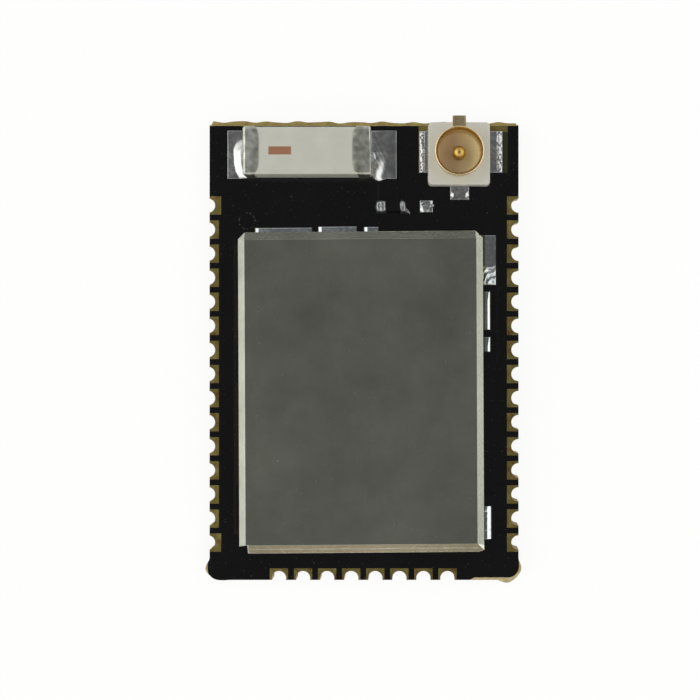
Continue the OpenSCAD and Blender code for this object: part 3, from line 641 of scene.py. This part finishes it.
# %% Rows of the shield, from the middle of its top to its feet
def slope_profile(radius_top, radius_wall, run=0.33):
    """Share of the run, and drop, from the flat top to the wall: arc, straight slope, arc."""
    tilt = np.arctan2(SLOPE_DROP, run)
    cut_top = radius_top * np.tan(tilt / 2)
    cut_wall = radius_wall * np.tan((np.pi / 2 - tilt) / 2)
    first, last = np.linspace(0, tilt, 6), np.linspace(tilt, np.pi / 2, 7)
    out = np.concatenate([radius_top * np.sin(first),
                          cut_top + run - radius_wall * (1 - np.sin(last))])
    drop = np.concatenate([radius_top * (1 - np.cos(first)),
                           SLOPE_DROP + cut_wall - radius_wall * np.cos(last)])
    step = np.linspace(0, 1, 9)[1:-1]
    out, drop = (np.insert(v, 6, v[5] + (v[6] - v[5]) * step) for v in (out, drop))
    return out / out[-1], drop


share, drop = slope_profile(0.015, 0.03)
flat_scale = np.array([0.0, 0.25, 0.5, 0.75, 0.9, 0.98, 0.998])
wall_rows = np.array([1.4, 1.1, board_top + SLOT, board_top + 0.1, board_top])
counts = len(flat_scale), len(share), len(wall_rows)
scale = np.concatenate([flat_scale, np.ones(counts[1] + counts[2])])
grow = np.concatenate([np.zeros(counts[0]), share, np.ones(counts[2])])
level = np.concatenate([np.full(counts[0], shield_high[2]), shield_high[2] - drop, wall_rows])
on_slope = np.repeat([0.0, 1.0, 0.0], counts)
foot_row = level[1:] < board_top + SLOT - 0.01
slope_row = grow[1:] > 0
print("rows on the top, the slope and the wall:", counts)

# %% Columns round the walls, and the folded shield
base, heading, lifts, face_kept = [], [], [], []
for wall, axis, out, sense, before, after in (
        ("top", 0, 1, 1, "left", "right"), ("right", 1, 1, -1, "top", "bottom"),
        ("bottom", 0, -1, -1, "right", "left"), ("left", 1, -1, 1, "bottom", "top")):
    half, run = shield_half[axis], SLOPE_RUN[wall]
    feet = np.array([(begin, begin + length) for begin, length, reach in FEET[wall]])
    feet = 2 * half - feet if wall in ("bottom", "left") else feet
    ends = CLIPS[wall][0], 2 * half - CLIPS[wall][1]
    marks = np.concatenate([np.clip(feet.ravel(), *ends), np.linspace(*ends, COLUMNS)])
    along = np.unique(np.round(marks, 4))
    held = np.clip(along, SLOPE_RUN[before], 2 * half - SLOPE_RUN[after])
    place, turn = np.zeros((2, len(along), 2))
    place[:, axis], place[:, 1 - axis] = sense * (held - half), out * (shield_half[1 - axis] - run)
    turn[:, axis], turn[:, 1 - axis] = sense * (along - held), out * run
    base.append(place)
    heading.append(turn)
    crease = np.interp(grow, *CREASE) if wall == "bottom" else np.zeros(len(grow))
    ending = ramp(along - 2 * half + LIFT_LENGTH, 0.05) * (wall == "right")
    lift = crease[:, None] + LIFT * np.clip(grow[:, None] - 0.1, 0, 1) * ending
    lifts.append(lift * on_slope[:, None])
    middle = (along[1:] + along[:-1]) / 2
    in_foot = ((middle[:, None] > feet.min(1)) & (middle[:, None] < feet.max(1))).any(1)
    wall_kept = ~(foot_row[:, None] & ~in_foot)
    corner_kept = ~foot_row & ~(slope_row & (wall == OPEN_AFTER))
    face_kept.append(np.concatenate([wall_kept, corner_kept[:, None]], axis=1))
base, heading = np.concatenate(base), np.concatenate(heading)
plan = shield_mid + (base * scale[:, None, None] + heading * grow[:, None, None]) @ ASKEW
# A pressed sheet is never quite flat: the top dips by a few thousandths of a millimetre
dip = np.minimum(0.006 * ripple(plan[..., 0], plan[..., 1], 6.0, 4) - 0.008, 0)
shield_z = level[:, None] + dip * (grow[:, None] == 0) + np.concatenate(lifts, axis=1)
points = np.concatenate([plan, shield_z[..., None]], axis=-1)
sheet = points, True, np.concatenate(face_kept, axis=1)
shield = piece("folded_shield", [sheet], tinplate, ["shield_can"], sharp=25)
thick = shield.modifiers.new("sheet", "SOLIDIFY")
thick.thickness = SHEET * MM
thick.offset = -1
thick.use_even_offset = True

# %% [markdown]
# ## Solder along the shield
#
# Each foot stands in solder that stops dead at the edge of its land or of the mask. The top of such
# a strip is nearly level, so it mirrors the dark roof, and only where it slants down to its border
# does it catch a lamp. The height is a plateau less a slant along the border, with a small round at
# the very edge, a slow ripple and a short one.

# %% Solder strips
SLANT = np.tan(np.radians(25))
PLATEAU, EDGE_ROUND, TAPER_LENGTH = 0.13, 0.02, 0.8
# Corner that each wall starts at, as low or high in x and y, and the directions along and out
WALLS = {
    "top": ((0, 1), (1, 0), (0, 1)), "right": ((1, 1), (0, -1), (1, 0)),
    "bottom": ((0, 0), (1, 0), (0, -1)), "left": ((0, 1), (0, -1), (-1, 0)),
}
# Width of the slant at the border and at the start, lean, height of the short ripple, and the share
# of the slant at the border that is left at the start. Two feet on the right differ.
SLANTS = {
    "top": (0.03, 0.13, 0.15, 0.001, 1), "right": (0.11, 0.03, 0.0, 0.001, 0.5),
    "bottom": (0.05, 0.05, 0.0, 0.0, 1), "left": (0.05, 0.05, 0.0, 0.0, 1),
    ("right", 0): (0.0, 0.03, 0.0, 0.0005, 1), ("right", 3): (0.17, 0.03, 0.0, 0.007, 1),
}
# The lands stay where the drawing has them, so the gap that the smaller shield leaves is solder too
GAPS = {"top": 0.06, "right": 0.085, "bottom": -0.05, "left": -0.09}
OVERLAP = 0.02
# The first foot on the right got more solder than the rest, and its lower end cooled into lumps:
# where they start, and the width of one fold
LUMPS_FROM, FOLD = 1.3, 0.26


def solder_strip(length, reach, seed, slant_out, slant_start, lean, mottle, taper):
    """Distances along and out, and heights: a plateau that leans outwards and slants down at its
    start and at its outer border, where the slant widens from a share of its width."""
    along, out = np.meshgrid(stations(length, 0.04, 0.03), stations(reach, 0.04, 0.02),
                             indexing="ij")
    slant_out = slant_out * np.clip(taper + along / TAPER_LENGTH, 0, 1)
    loss = SLANT * np.maximum(np.clip(slant_out - (reach - out), 0, None),
                              np.clip(slant_start - along, 0, None))
    height = (PLATEAU - loss - lean * out) * (1 + 0.03 * ripple(along, out, 0.8, seed))
    height = height + mottle * ripple(along, out, 0.16, seed + 40)
    height = height * shoulder(np.minimum(along, length - along), EDGE_ROUND)
    return along, out, height * shoulder(reach - out, EDGE_ROUND)


def foot_lumps(along, out, length, reach):
    """Height of the lumps: slanting folds with a steep and a gentle flank, which fade in."""
    share = shoulder(along - LUMPS_FROM, 0.25) * shoulder(reach - out, 0.03)
    fold = 0.7 * (along + out) / FOLD + 0.25 * ripple(along, out, 0.6, 7)
    rest = fold - np.floor(fold)
    tooth = np.minimum(3 * rest, 1 - rest)
    return share * shoulder(length - along, 0.08) * (0.04 + FOLD * SLANT * tooth)


strips = []
for wall, feet in FEET.items():
    corner, run_way, out_way = WALLS[wall]
    origin = np.array([(can_low, can_high)[pick][axis] for axis, pick in enumerate(corner)])
    for i, (begin, length, reach) in enumerate(feet):
        reach = reach + OVERLAP + GAPS[wall]
        slants = SLANTS.get((wall, i), SLANTS[wall])
        along, out, height = solder_strip(length, reach, len(strips), *slants)
        if (wall, i) == ("right", 0):
            height = height + foot_lumps(along, out, length, reach)
        plan = origin + np.multiply.outer(begin + along, run_way) + np.multiply.outer(out, out_way)
        plan = shield_mid + (plan - shield_mid) @ ASKEW
        strips += mound(plan[..., 0], plan[..., 1], height)
piece("shield_solder_strips", strips, solder, ["shield_solder"], sharp=45)

# %% [markdown]
# ## The antenna's ends
#
# The ends of the ceramic block were dipped in silver paste and plated. Paste draws back from edges
# and bulges in the middle, so each cap is a rounded skin with a bowed inner edge. The surface runs
# from that edge along the block and round over the end, with the block's section as its other
# parameter.

# %% Dipped end caps
def round_rect(half_a, half_b, radius, corner_steps=7, side_steps=14):
    """Closed outline of a rectangle with round corners, counterclockwise from the right side."""
    angle = np.linspace(0, np.pi / 2, corner_steps)
    arc = np.stack([np.cos(angle), np.sin(angle)], -1) * radius
    share = np.linspace(0, 1, side_steps)[1:-1, None]
    bends = []
    for k, (sign_a, sign_b) in enumerate(((1, 1), (-1, 1), (-1, -1), (1, -1))):
        c, s = np.round(np.cos(k * np.pi / 2)), np.round(np.sin(k * np.pi / 2))
        middle = [sign_a * (half_a - radius), sign_b * (half_b - radius)]
        bends.append(arc @ np.array([[c, s], [-s, c]]) + middle)
    closed = []
    for k in range(4):
        here, ahead = bends[k][-1], bends[(k + 1) % 4][0]
        closed += [bends[k], here + (ahead - here) * share]
    return np.concatenate(closed)


caps_low, caps_high = box_mm("antenna_end_caps")
caps_mid = (caps_low + caps_high) / 2
half_w, half_h = (caps_high - caps_low)[1:] / 2
CAP_SKIN, CAP_ROUND = 0.03, 0.13
# How far the inner edge draws back at the front and at the back corner of the block
DRAWN_FRONT, DRAWN_BACK = 0.24, 0.16
# Rows of the lip and of the skin; the rest go round the end
LIP_ROWS, SKIN_ROWS = 2, 15
share = np.linspace(0, 1, SKIN_ROWS)
turn = np.linspace(0, np.pi / 2, 7)[1:]
on_lip, on_skin = slice(LIP_ROWS), slice(LIP_ROWS, LIP_ROWS + SKIN_ROWS)
on_end = slice(LIP_ROWS + SKIN_ROWS, None)
cap_grids = []
# Side, width of the cap, radius of its end, and the share of that radius left at the front corner
for side, wrap, bend, front_share in ((-1, 0.66, 0.13, 1.0), (1, 0.73, 0.07, 0.25)):
    # Inset of the section, row by row: the lip, the skin with its bulge, the round end
    inset = np.concatenate([[CAP_SKIN + 0.005, 0.003],
                            -0.012 * np.sin(np.pi * share) ** 0.7 * (1 - share),
                            bend * (1 - np.cos(turn))])
    section = np.stack([round_rect(half_w - gap, half_h - gap, max(CAP_ROUND - gap, 0.015), 7, 26)
                        for gap in inset])
    across = section[..., 0] / half_w
    bow = np.where(across < 0, DRAWN_FRONT, DRAWN_BACK) * np.abs(across) ** 5
    round_end = bend * np.interp(across, (-1, 0.2, 0.6), (front_share, front_share, 1))
    # Distance of each row from the end
    inner = (wrap - 0.02 - bow - round_end)[on_skin]
    depth = np.concatenate([(wrap - bow)[on_lip],
                            round_end[on_skin] + inner * (1 - share[:, None]),
                            round_end[on_end] * (1 - np.sin(turn))[:, None]])
    end_x = caps_low[0] if side < 0 else caps_high[0]
    skin = np.stack([end_x - side * depth, caps_mid[1] + section[..., 0],
                     caps_mid[2] + section[..., 1]], -1)
    pole = np.broadcast_to([end_x, caps_mid[1], caps_mid[2]], skin[:1].shape)
    rim = skin[-1:]
    skin = np.concatenate([skin, rim * 0.96 + pole * 0.04, (rim + pole) / 2, pole])
    cap_grids.append((skin, True, None))
piece("antenna_dipped_caps", cap_grids, dipped_tin, ["antenna_end_caps"])

# %% [markdown]
# The antenna's solder is a thin film over each land, with a fillet that leans against the block.
# The left fillet is a crescent that slants at one angle and levels off beside the block. The right
# one climbs the block in a hollow curve, and then lies in a shelf with a ridge where the last of it
# ran down.

# %% Antenna solder
FILM = 0.014
LAND_LEFT, LAND_RIGHT = -5.63, 1.38
cap_front, cap_back = caps_low[1], caps_high[1]
# Reach of the crescent from the block, at places in y; its rise, where it levels off, its back end
CRESCENT_Y = (7.05, 7.12, 7.22, 7.45, 7.75, 8.35, 8.6, 8.78, 8.92)
CRESCENT = (0, 0.18, 0.3, 0.43, 0.5, 0.53, 0.45, 0.33, 0)
CRESCENT_RISE, CRESCENT_RUN, CRESCENT_BACK = np.tan(np.radians(24)), 0.29, 8.8
# Ridge of the shelf, at places in y, and the y behind which the shelf is low and nothing climbs
RIDGE_Y = (6.95, 7.32, 7.74, 8.15, 8.57, 9.0)
RIDGE = (0.62, 0.645, 0.77, 0.78, 0.6, 0.54)
SHELF_BACK = 8.25
# Where the hollow curve ends, the width that it would have, and its height at the block
HOLLOW, HOLLOW_WIDTH, CLIMB = 0.157, 0.28, 0.35

x, y, edge = patch((LAND_LEFT, cap_front), (caps_low[0] + 0.05, cap_back), 0.05, 0.025)
inward = np.clip(np.interp(y, CRESCENT_Y, CRESCENT) - (caps_low[0] - x), 0, None)
rise = np.minimum(inward, CRESCENT_RUN) + 0.3 * np.clip(inward - CRESCENT_RUN, 0, None)
height = FILM * shoulder(edge, 0.02) + 0.002 * ripple(x, y, 0.3, 21)
rise = rise * CRESCENT_RISE * ramp(CRESCENT_BACK - y, 0.5)
grids = mound(x, y, height + rise)

x, y, edge = patch((caps_high[0] - 0.05, cap_front), (LAND_RIGHT, cap_back), 0.05, 0.025)
# One column is moved to where the hollow ends, so that it ends in a clean crease
hollow_end = caps_high[0] + HOLLOW
x = np.where(np.abs(x - hollow_end) < 0.0126, hollow_end, x)
shelf = 0.035 + 0.11 * ramp(SHELF_BACK - y, 0.8)
fall = 0.5 * (1 - np.tanh((x - np.interp(y, RIDGE_Y, RIDGE)) / 0.17))
height = FILM * shoulder(edge, 0.02) + shelf * fall * shoulder(edge, 0.1)
height = height + 0.003 * ripple(x, y, 0.22, 24) * shoulder(edge, 0.1)
nearness = 1 - ramp(x - caps_high[0], HOLLOW_WIDTH)
hollow = nearness ** 2 - (1 - HOLLOW / HOLLOW_WIDTH) ** 2
climb = CLIMB * np.clip(hollow, 0, None) * ramp(SHELF_BACK - y, 0.4)
# The last of the solder ran down over the front edge of the land
run_down = np.exp(-((x - 0.63) / 0.2) ** 2) * (1 - ramp(y - cap_front, 0.5))
grids += mound(x, y - 0.12 * run_down, height + climb * shoulder(y - cap_front, 0.2))
piece("antenna_solder_fillets", grids, film_solder, ["antenna_solder"], sharp=35)
print("antenna caps from", caps_low.round(3).tolist(), "to", caps_high.round(3).tolist())

# %% [markdown]
# ## The socket's body
#
# The housing is a moulded square with soft edges. Its loops start as the square outline, round over
# at the top and turn into the circle under the ring. Inside the ring lies a disc of amber plastic
# that holds the centre pin.

# %% Moulded housing
def revolve(profile, steps=96):
    """Points of a profile of radius and height turned round the socket's axis."""
    angle = np.linspace(0, 2 * np.pi, steps, endpoint=False)
    radius, z = np.array(profile, float).T
    x = socket_x + radius[:, None] * np.cos(angle)
    y = socket_y + radius[:, None] * np.sin(angle)
    return np.stack([x, y, np.broadcast_to(z[:, None], x.shape)], -1)


DRAFT, SOFT, HOUSING_ROUND = 0.02, 0.05, 0.17
# The body is a hair narrower than it is long, and sits a little off the axis
SQUEEZE, OFF_AXIS = 0.012, [0.012, 0.02]
BORE = 0.93
housing_half = (housing_high - housing_low)[0] / 2
half_x, half_y = housing_half - SQUEEZE, housing_half + SQUEEZE
housing_top = housing_high[2]
turn = np.linspace(0, np.pi / 2, 6)
insets = np.concatenate([[0.0], DRAFT + SOFT * (1 - np.cos(turn))])
levels = np.concatenate([[board_top], housing_top - SOFT * (1 - np.sin(turn)),
                         [housing_top, board_top, board_top]])
loops = [round_rect(half_x - inset, half_y - inset, HOUSING_ROUND, 9, 18) + OFF_AXIS
         for inset in insets]
angle = np.arctan2(loops[0][:, 1], loops[0][:, 0])
circle = BORE * np.stack([np.cos(angle), np.sin(angle)], -1)
loops = np.stack(loops + [circle, circle, loops[0]]) + [socket_x, socket_y]
grid = np.concatenate([loops, np.broadcast_to(levels[:, None, None], loops[..., :1].shape)], -1)
piece("moulded_housing", [(grid, True, None)], cream_plastic,
      ["connector_housing"])

# %% Amber insert
amber_plastic, add, shader, coords, colour = two_tone(
    "moulded_amber_plastic", "#b59a78", "#c4ac8a", 0.8, 0.4, 0.1, 0.008, IOR=1.55)
# Painted light: the disc's right side is painted paler cream, in place of the light that the ring's
# inside reflects onto it
place = add("SeparateXYZ", [coords], out=None)
painted_light_share = add("MapRange", [place["X"], (socket_x - 0.2) * MM, (socket_x + 0.7) * MM])
colour = add("Mix", {0: painted_light_share, MIX_A: colour, MIX_B: "#dccfa4"}, **COLOUR)
wire(shader, Base_Color=colour)
INSERT_RADIUS, insert_top = 0.9, housing_top - 0.04
insert = [(0.0, board_top), (INSERT_RADIUS, board_top)]
insert += [(radius, insert_top) for radius in (INSERT_RADIUS, 0.6, 0.3, 0.0)]
piece("amber_insert", [(revolve(insert), True, None)], amber_plastic)

# %% [markdown]
# The shell is drawn from gold-plated sheet: a ring with a bead that a plug clicks over, a tab at
# the back and a flat tab on each side under the solder. The ring is a profile turned round the
# axis, and each tab is a rounded section swept along a straight path. The pin is a turned dome that
# stands on a flat tail.

# %% Gold shell and pin
def tab(start, end, half_width, low, high):
    """Grid of a flat bar from start to end: a rounded section at stations along the path."""
    section = round_rect(half_width, (high - low) / 2, 0.008, 4, 6)
    path = np.array(end, float) - start
    ahead = path / np.linalg.norm(path)
    share = np.array([0, 0, 0.02, 0.98, 1, 1])[:, None, None]
    size = np.array([0, 0.96, 1, 1, 0.96, 0])[:, None]
    plan = start + share * path + (size * section[:, 0])[..., None] * [-ahead[1], ahead[0]]
    z = (size * section[:, 1])[..., None] + (low + high) / 2
    return np.concatenate([plan, z], -1), True, None


shell_high = box_mm("connector_shell")[1]
RING_IN, RING_NECK, RING_OUT, BEAD = 0.87, 0.94, 1.0, 0.045
# Thickness of the flat tabs, half widths of the rear and the side tabs, and a side tab's ends
TAB_THICK, REAR_HALF, SIDE_HALF, SIDE_FROM, SIDE_TO = 0.1, 0.285, 0.74, 0.9, 1.54
ring_foot, ring_top = board_top + 0.15, shell_high[2]
# From the foot up the outside, round the bead, and down the slanting mouth
ring = [(RING_IN, ring_foot), (RING_NECK, ring_foot), (RING_NECK, ring_top - 0.13),
        (RING_OUT, ring_top - 0.08)]
ring += [(RING_OUT - BEAD + BEAD * np.cos(a), ring_top - BEAD + BEAD * np.sin(a))
         for a in np.linspace(0, np.pi / 2, 7)]
ring += [(RING_IN + 0.04, ring_top - 0.1), (RING_IN, ring_top - 0.2), (RING_IN, ring_foot)]
rear_x, side_y = socket_x + 0.02, socket_y + 0.1
shell = [(revolve(ring), True, None),
         tab((rear_x, socket_y + 0.9), (rear_x, shell_high[1] - 0.02), REAR_HALF,
             housing_top - 0.08, housing_top + 0.02)]
shell += [tab((socket_x + side * SIDE_FROM, side_y), (socket_x + side * SIDE_TO, side_y),
              SIDE_HALF, board_top, board_top + TAB_THICK) for side in (-1, 1)]
piece("drawn_shell", shell, drawn_gold, ["connector_shell"], sharp=50)

PIN_RADIUS, PIN_SHOULDER, PIN_DOME, TAIL_END = 0.27, 1.5, 0.25, 6.45
pin = [(0.0, board_top), (PIN_RADIUS, board_top)]
pin += [(PIN_RADIUS * np.cos(a), PIN_SHOULDER + PIN_DOME * np.sin(a))
        for a in np.linspace(0, np.pi / 2, 12)]
tail = tab((socket_x, socket_y), (socket_x, TAIL_END), 0.225, board_top, board_top + TAB_THICK)
polished_gold = gold_plating(
    "turned_and_gold_plated_brass", "#d4b870", "#bb9749", "#a68338", 0.34, 0.4)
piece("turned_pin", [(revolve(pin, 48), True, None), tail], polished_gold,
      ["connector_pin"], sharp=50)

# %% [markdown]
# ## Solder round the socket and the small parts
#
# Ground tabs, signal tail and the little resistor sit in solder too. Where a pad was touched up by
# hand the metal is grainy, so its ripple is short and steep. Most of these are mounds over a patch
# of board.

# %% Solder at the socket
GROUND_FRONT, GROUND_BACK, TAIL_FRONT = 7.385, 9.13, 6.26
# Height of the solder, and width of the outer part that was touched up by hand and is grainy; the
# inner part lies level on the tab
PAD_HEIGHT, GRAINY = 0.12, 0.25
grids = []
for side, outer, seed in ((-1, 1.643, 31), (1, 1.823, 32)):
    inner, outer = socket_x + side * (housing_half - 0.03), socket_x + side * outer
    left, right = sorted((inner, outer))
    x, y, edge = patch((left, GROUND_FRONT), (right, GROUND_BACK), 0.04, 0.02)
    beyond = np.clip(GRAINY - np.abs(outer - x), 0, None)
    height = PAD_HEIGHT * shoulder(edge, 0.03) * (1 + 0.02 * ripple(x, y, 0.5, seed))
    grainy = 0.045 + 0.017 * ripple(x, y, 0.16, seed + 5) - 0.25 * beyond
    height = height + ramp(beyond, 0.1) * shoulder(edge, 0.06) * grainy
    grids += mound(x, y, height)
tail_back = socket_y - housing_half + 0.03
x, y, edge = patch((socket_x - 0.36, TAIL_FRONT), (socket_x + 0.44, tail_back), 0.04, 0.02)
# The solder is lower on both sides of the tail's end, between two places in y
DIP = 6.36, 6.62
beside = ramp(np.abs(x - socket_x - 0.04) - 0.25, 0.13)
lower = ramp(DIP[1] - y, 0.12) * ramp(y - DIP[0], 0.05)
height = (PAD_HEIGHT - 0.07 * beside * lower) * shoulder(edge, 0.03)
grids += mound(x, y, height * (1 + 0.03 * ripple(x, y, 0.3, 37)))
piece("socket_solder_mounds", grids, frosted_solder, ["connector_solder"], sharp=80)

# %% [markdown]
# The link resistor is smaller than a grain of rice, and each of its ends drowns in a lump of
# solder. A lump has a wavy outline between an oval and a square, turned on the board. It rises as a
# dome with small ripples and one step across its middle.

# %% Resistor ends and their solder
def lump_grid(centre, half, turn, height, seed, uneven=0.08, full=2.0, step_up=0.0):
    """Closed grid of a lump: rings of a wavy superellipse, raised as a dome of the same power with
    ripples and one step across its middle, and a flat underside."""
    rng = np.random.default_rng(seed)
    angle = np.linspace(0, 2 * np.pi, 72, endpoint=False)
    order, start = np.array([2, 3, 5, 7]), rng.uniform(0, 2 * np.pi, 4)
    wave = 1 + uneven * (np.sin(order * angle[:, None] + start) / np.sqrt(order)).sum(1)
    wave = wave * (np.abs(np.cos(angle)) ** full + np.abs(np.sin(angle)) ** full) ** (-1 / full)
    share = np.sin(np.linspace(0, np.pi / 2, 14))[:, None]
    along, across = share * half[0] * wave * np.cos(angle), share * half[1] * wave * np.sin(angle)
    x = centre[0] + along * np.cos(turn) - across * np.sin(turn)
    y = centre[1] + along * np.sin(turn) + across * np.cos(turn)
    dome = (1 - share ** (full + 2)) ** 0.5
    uneven_z = 0.012 * ripple(x, y, 0.25, seed + 1) + step_up * np.tanh(along / 0.045)
    z = np.maximum(height * dome + uneven_z * np.sqrt(dome), 0.004)
    top = np.stack([x, y, board_top + z * (share < 1)], -1)
    pole = np.broadcast_to([centre[0], centre[1], board_top], top[:1].shape)
    return np.concatenate([top, pole]), True, None


terminal_low, terminal_high = box_mm("link_resistor_terminals")
terminal_mid = (terminal_low + terminal_high) / 2
outline = round_rect(0.21, 0.15, 0.05, 5, 6)
# Size of the outline across and up, and distance from the tip, from the inner edge to the end face
CAP_ROWS = (((0.86, 0.86), 0.2), ((1, 1), 0.19), ((1, 1), 0.06), ((0.97, 0.95), 0.02),
            ((0.9, 0.85), 0.0), ((0.0, 0.0), 0.0))
ends = []
for side, tip in ((-1, terminal_low[0]), (1, terminal_high[0])):
    rows = []
    for size, depth in CAP_ROWS:
        loop = terminal_mid[1:] + outline * size
        rows.append(np.insert(loop, 0, tip - side * depth, axis=1))
    ends.append((np.stack(rows), True, None))
piece("resistor_end_caps", ends, dipped_tin, ["link_resistor_terminals"])
lumps = [lump_grid((0.75, 5.97), (0.23, 0.29), 0.0, 0.4, 61, 0.05, 4.0, 0.014),
         lump_grid((1.65, 5.97), (0.15, 0.29), 0.1, 0.4, 62, 0.06, 3.0, -0.012),
         lump_grid((1.81, 5.83), (0.24, 0.075), -0.85, 0.2, 63)]
piece("resistor_solder", lumps, dull_solder, ["link_resistor_solder"], sharp=80)

# %% Solder on the spare land
spare_low, spare_high = box_mm("spare_land_solder")
x, y, edge = patch(spare_low - [0.05, 0.03, 0], spare_high + [0.05, 0.03, 0], 0.04, 0.02)
# A shelf that slants down to both ends, on the left only between two places in y, with a bead at
# the right end
FALL = 5.76, 6.08
front = ramp(FALL[1] - y, 0.15) * ramp(y - FALL[0], 0.06)
left_fall = np.clip(spare_low[0] + 0.09 - x, 0, None) * front
right_fall = 0.3 * np.clip(x - spare_high[0] + 0.15, 0, None)
height = 0.12 - SLANT * (left_fall + right_fall) + 0.016 * ripple(x, y, 0.34, 58)
lumps = mound(x, y, shoulder(edge, 0.03) * height)
lumps.append(lump_grid((2.85, 6.02), (0.12, 0.09), 0.4, 0.2, 65, 0.12))
piece("spare_land_lump", lumps, frosted_solder, ["spare_land_solder"], sharp=80)
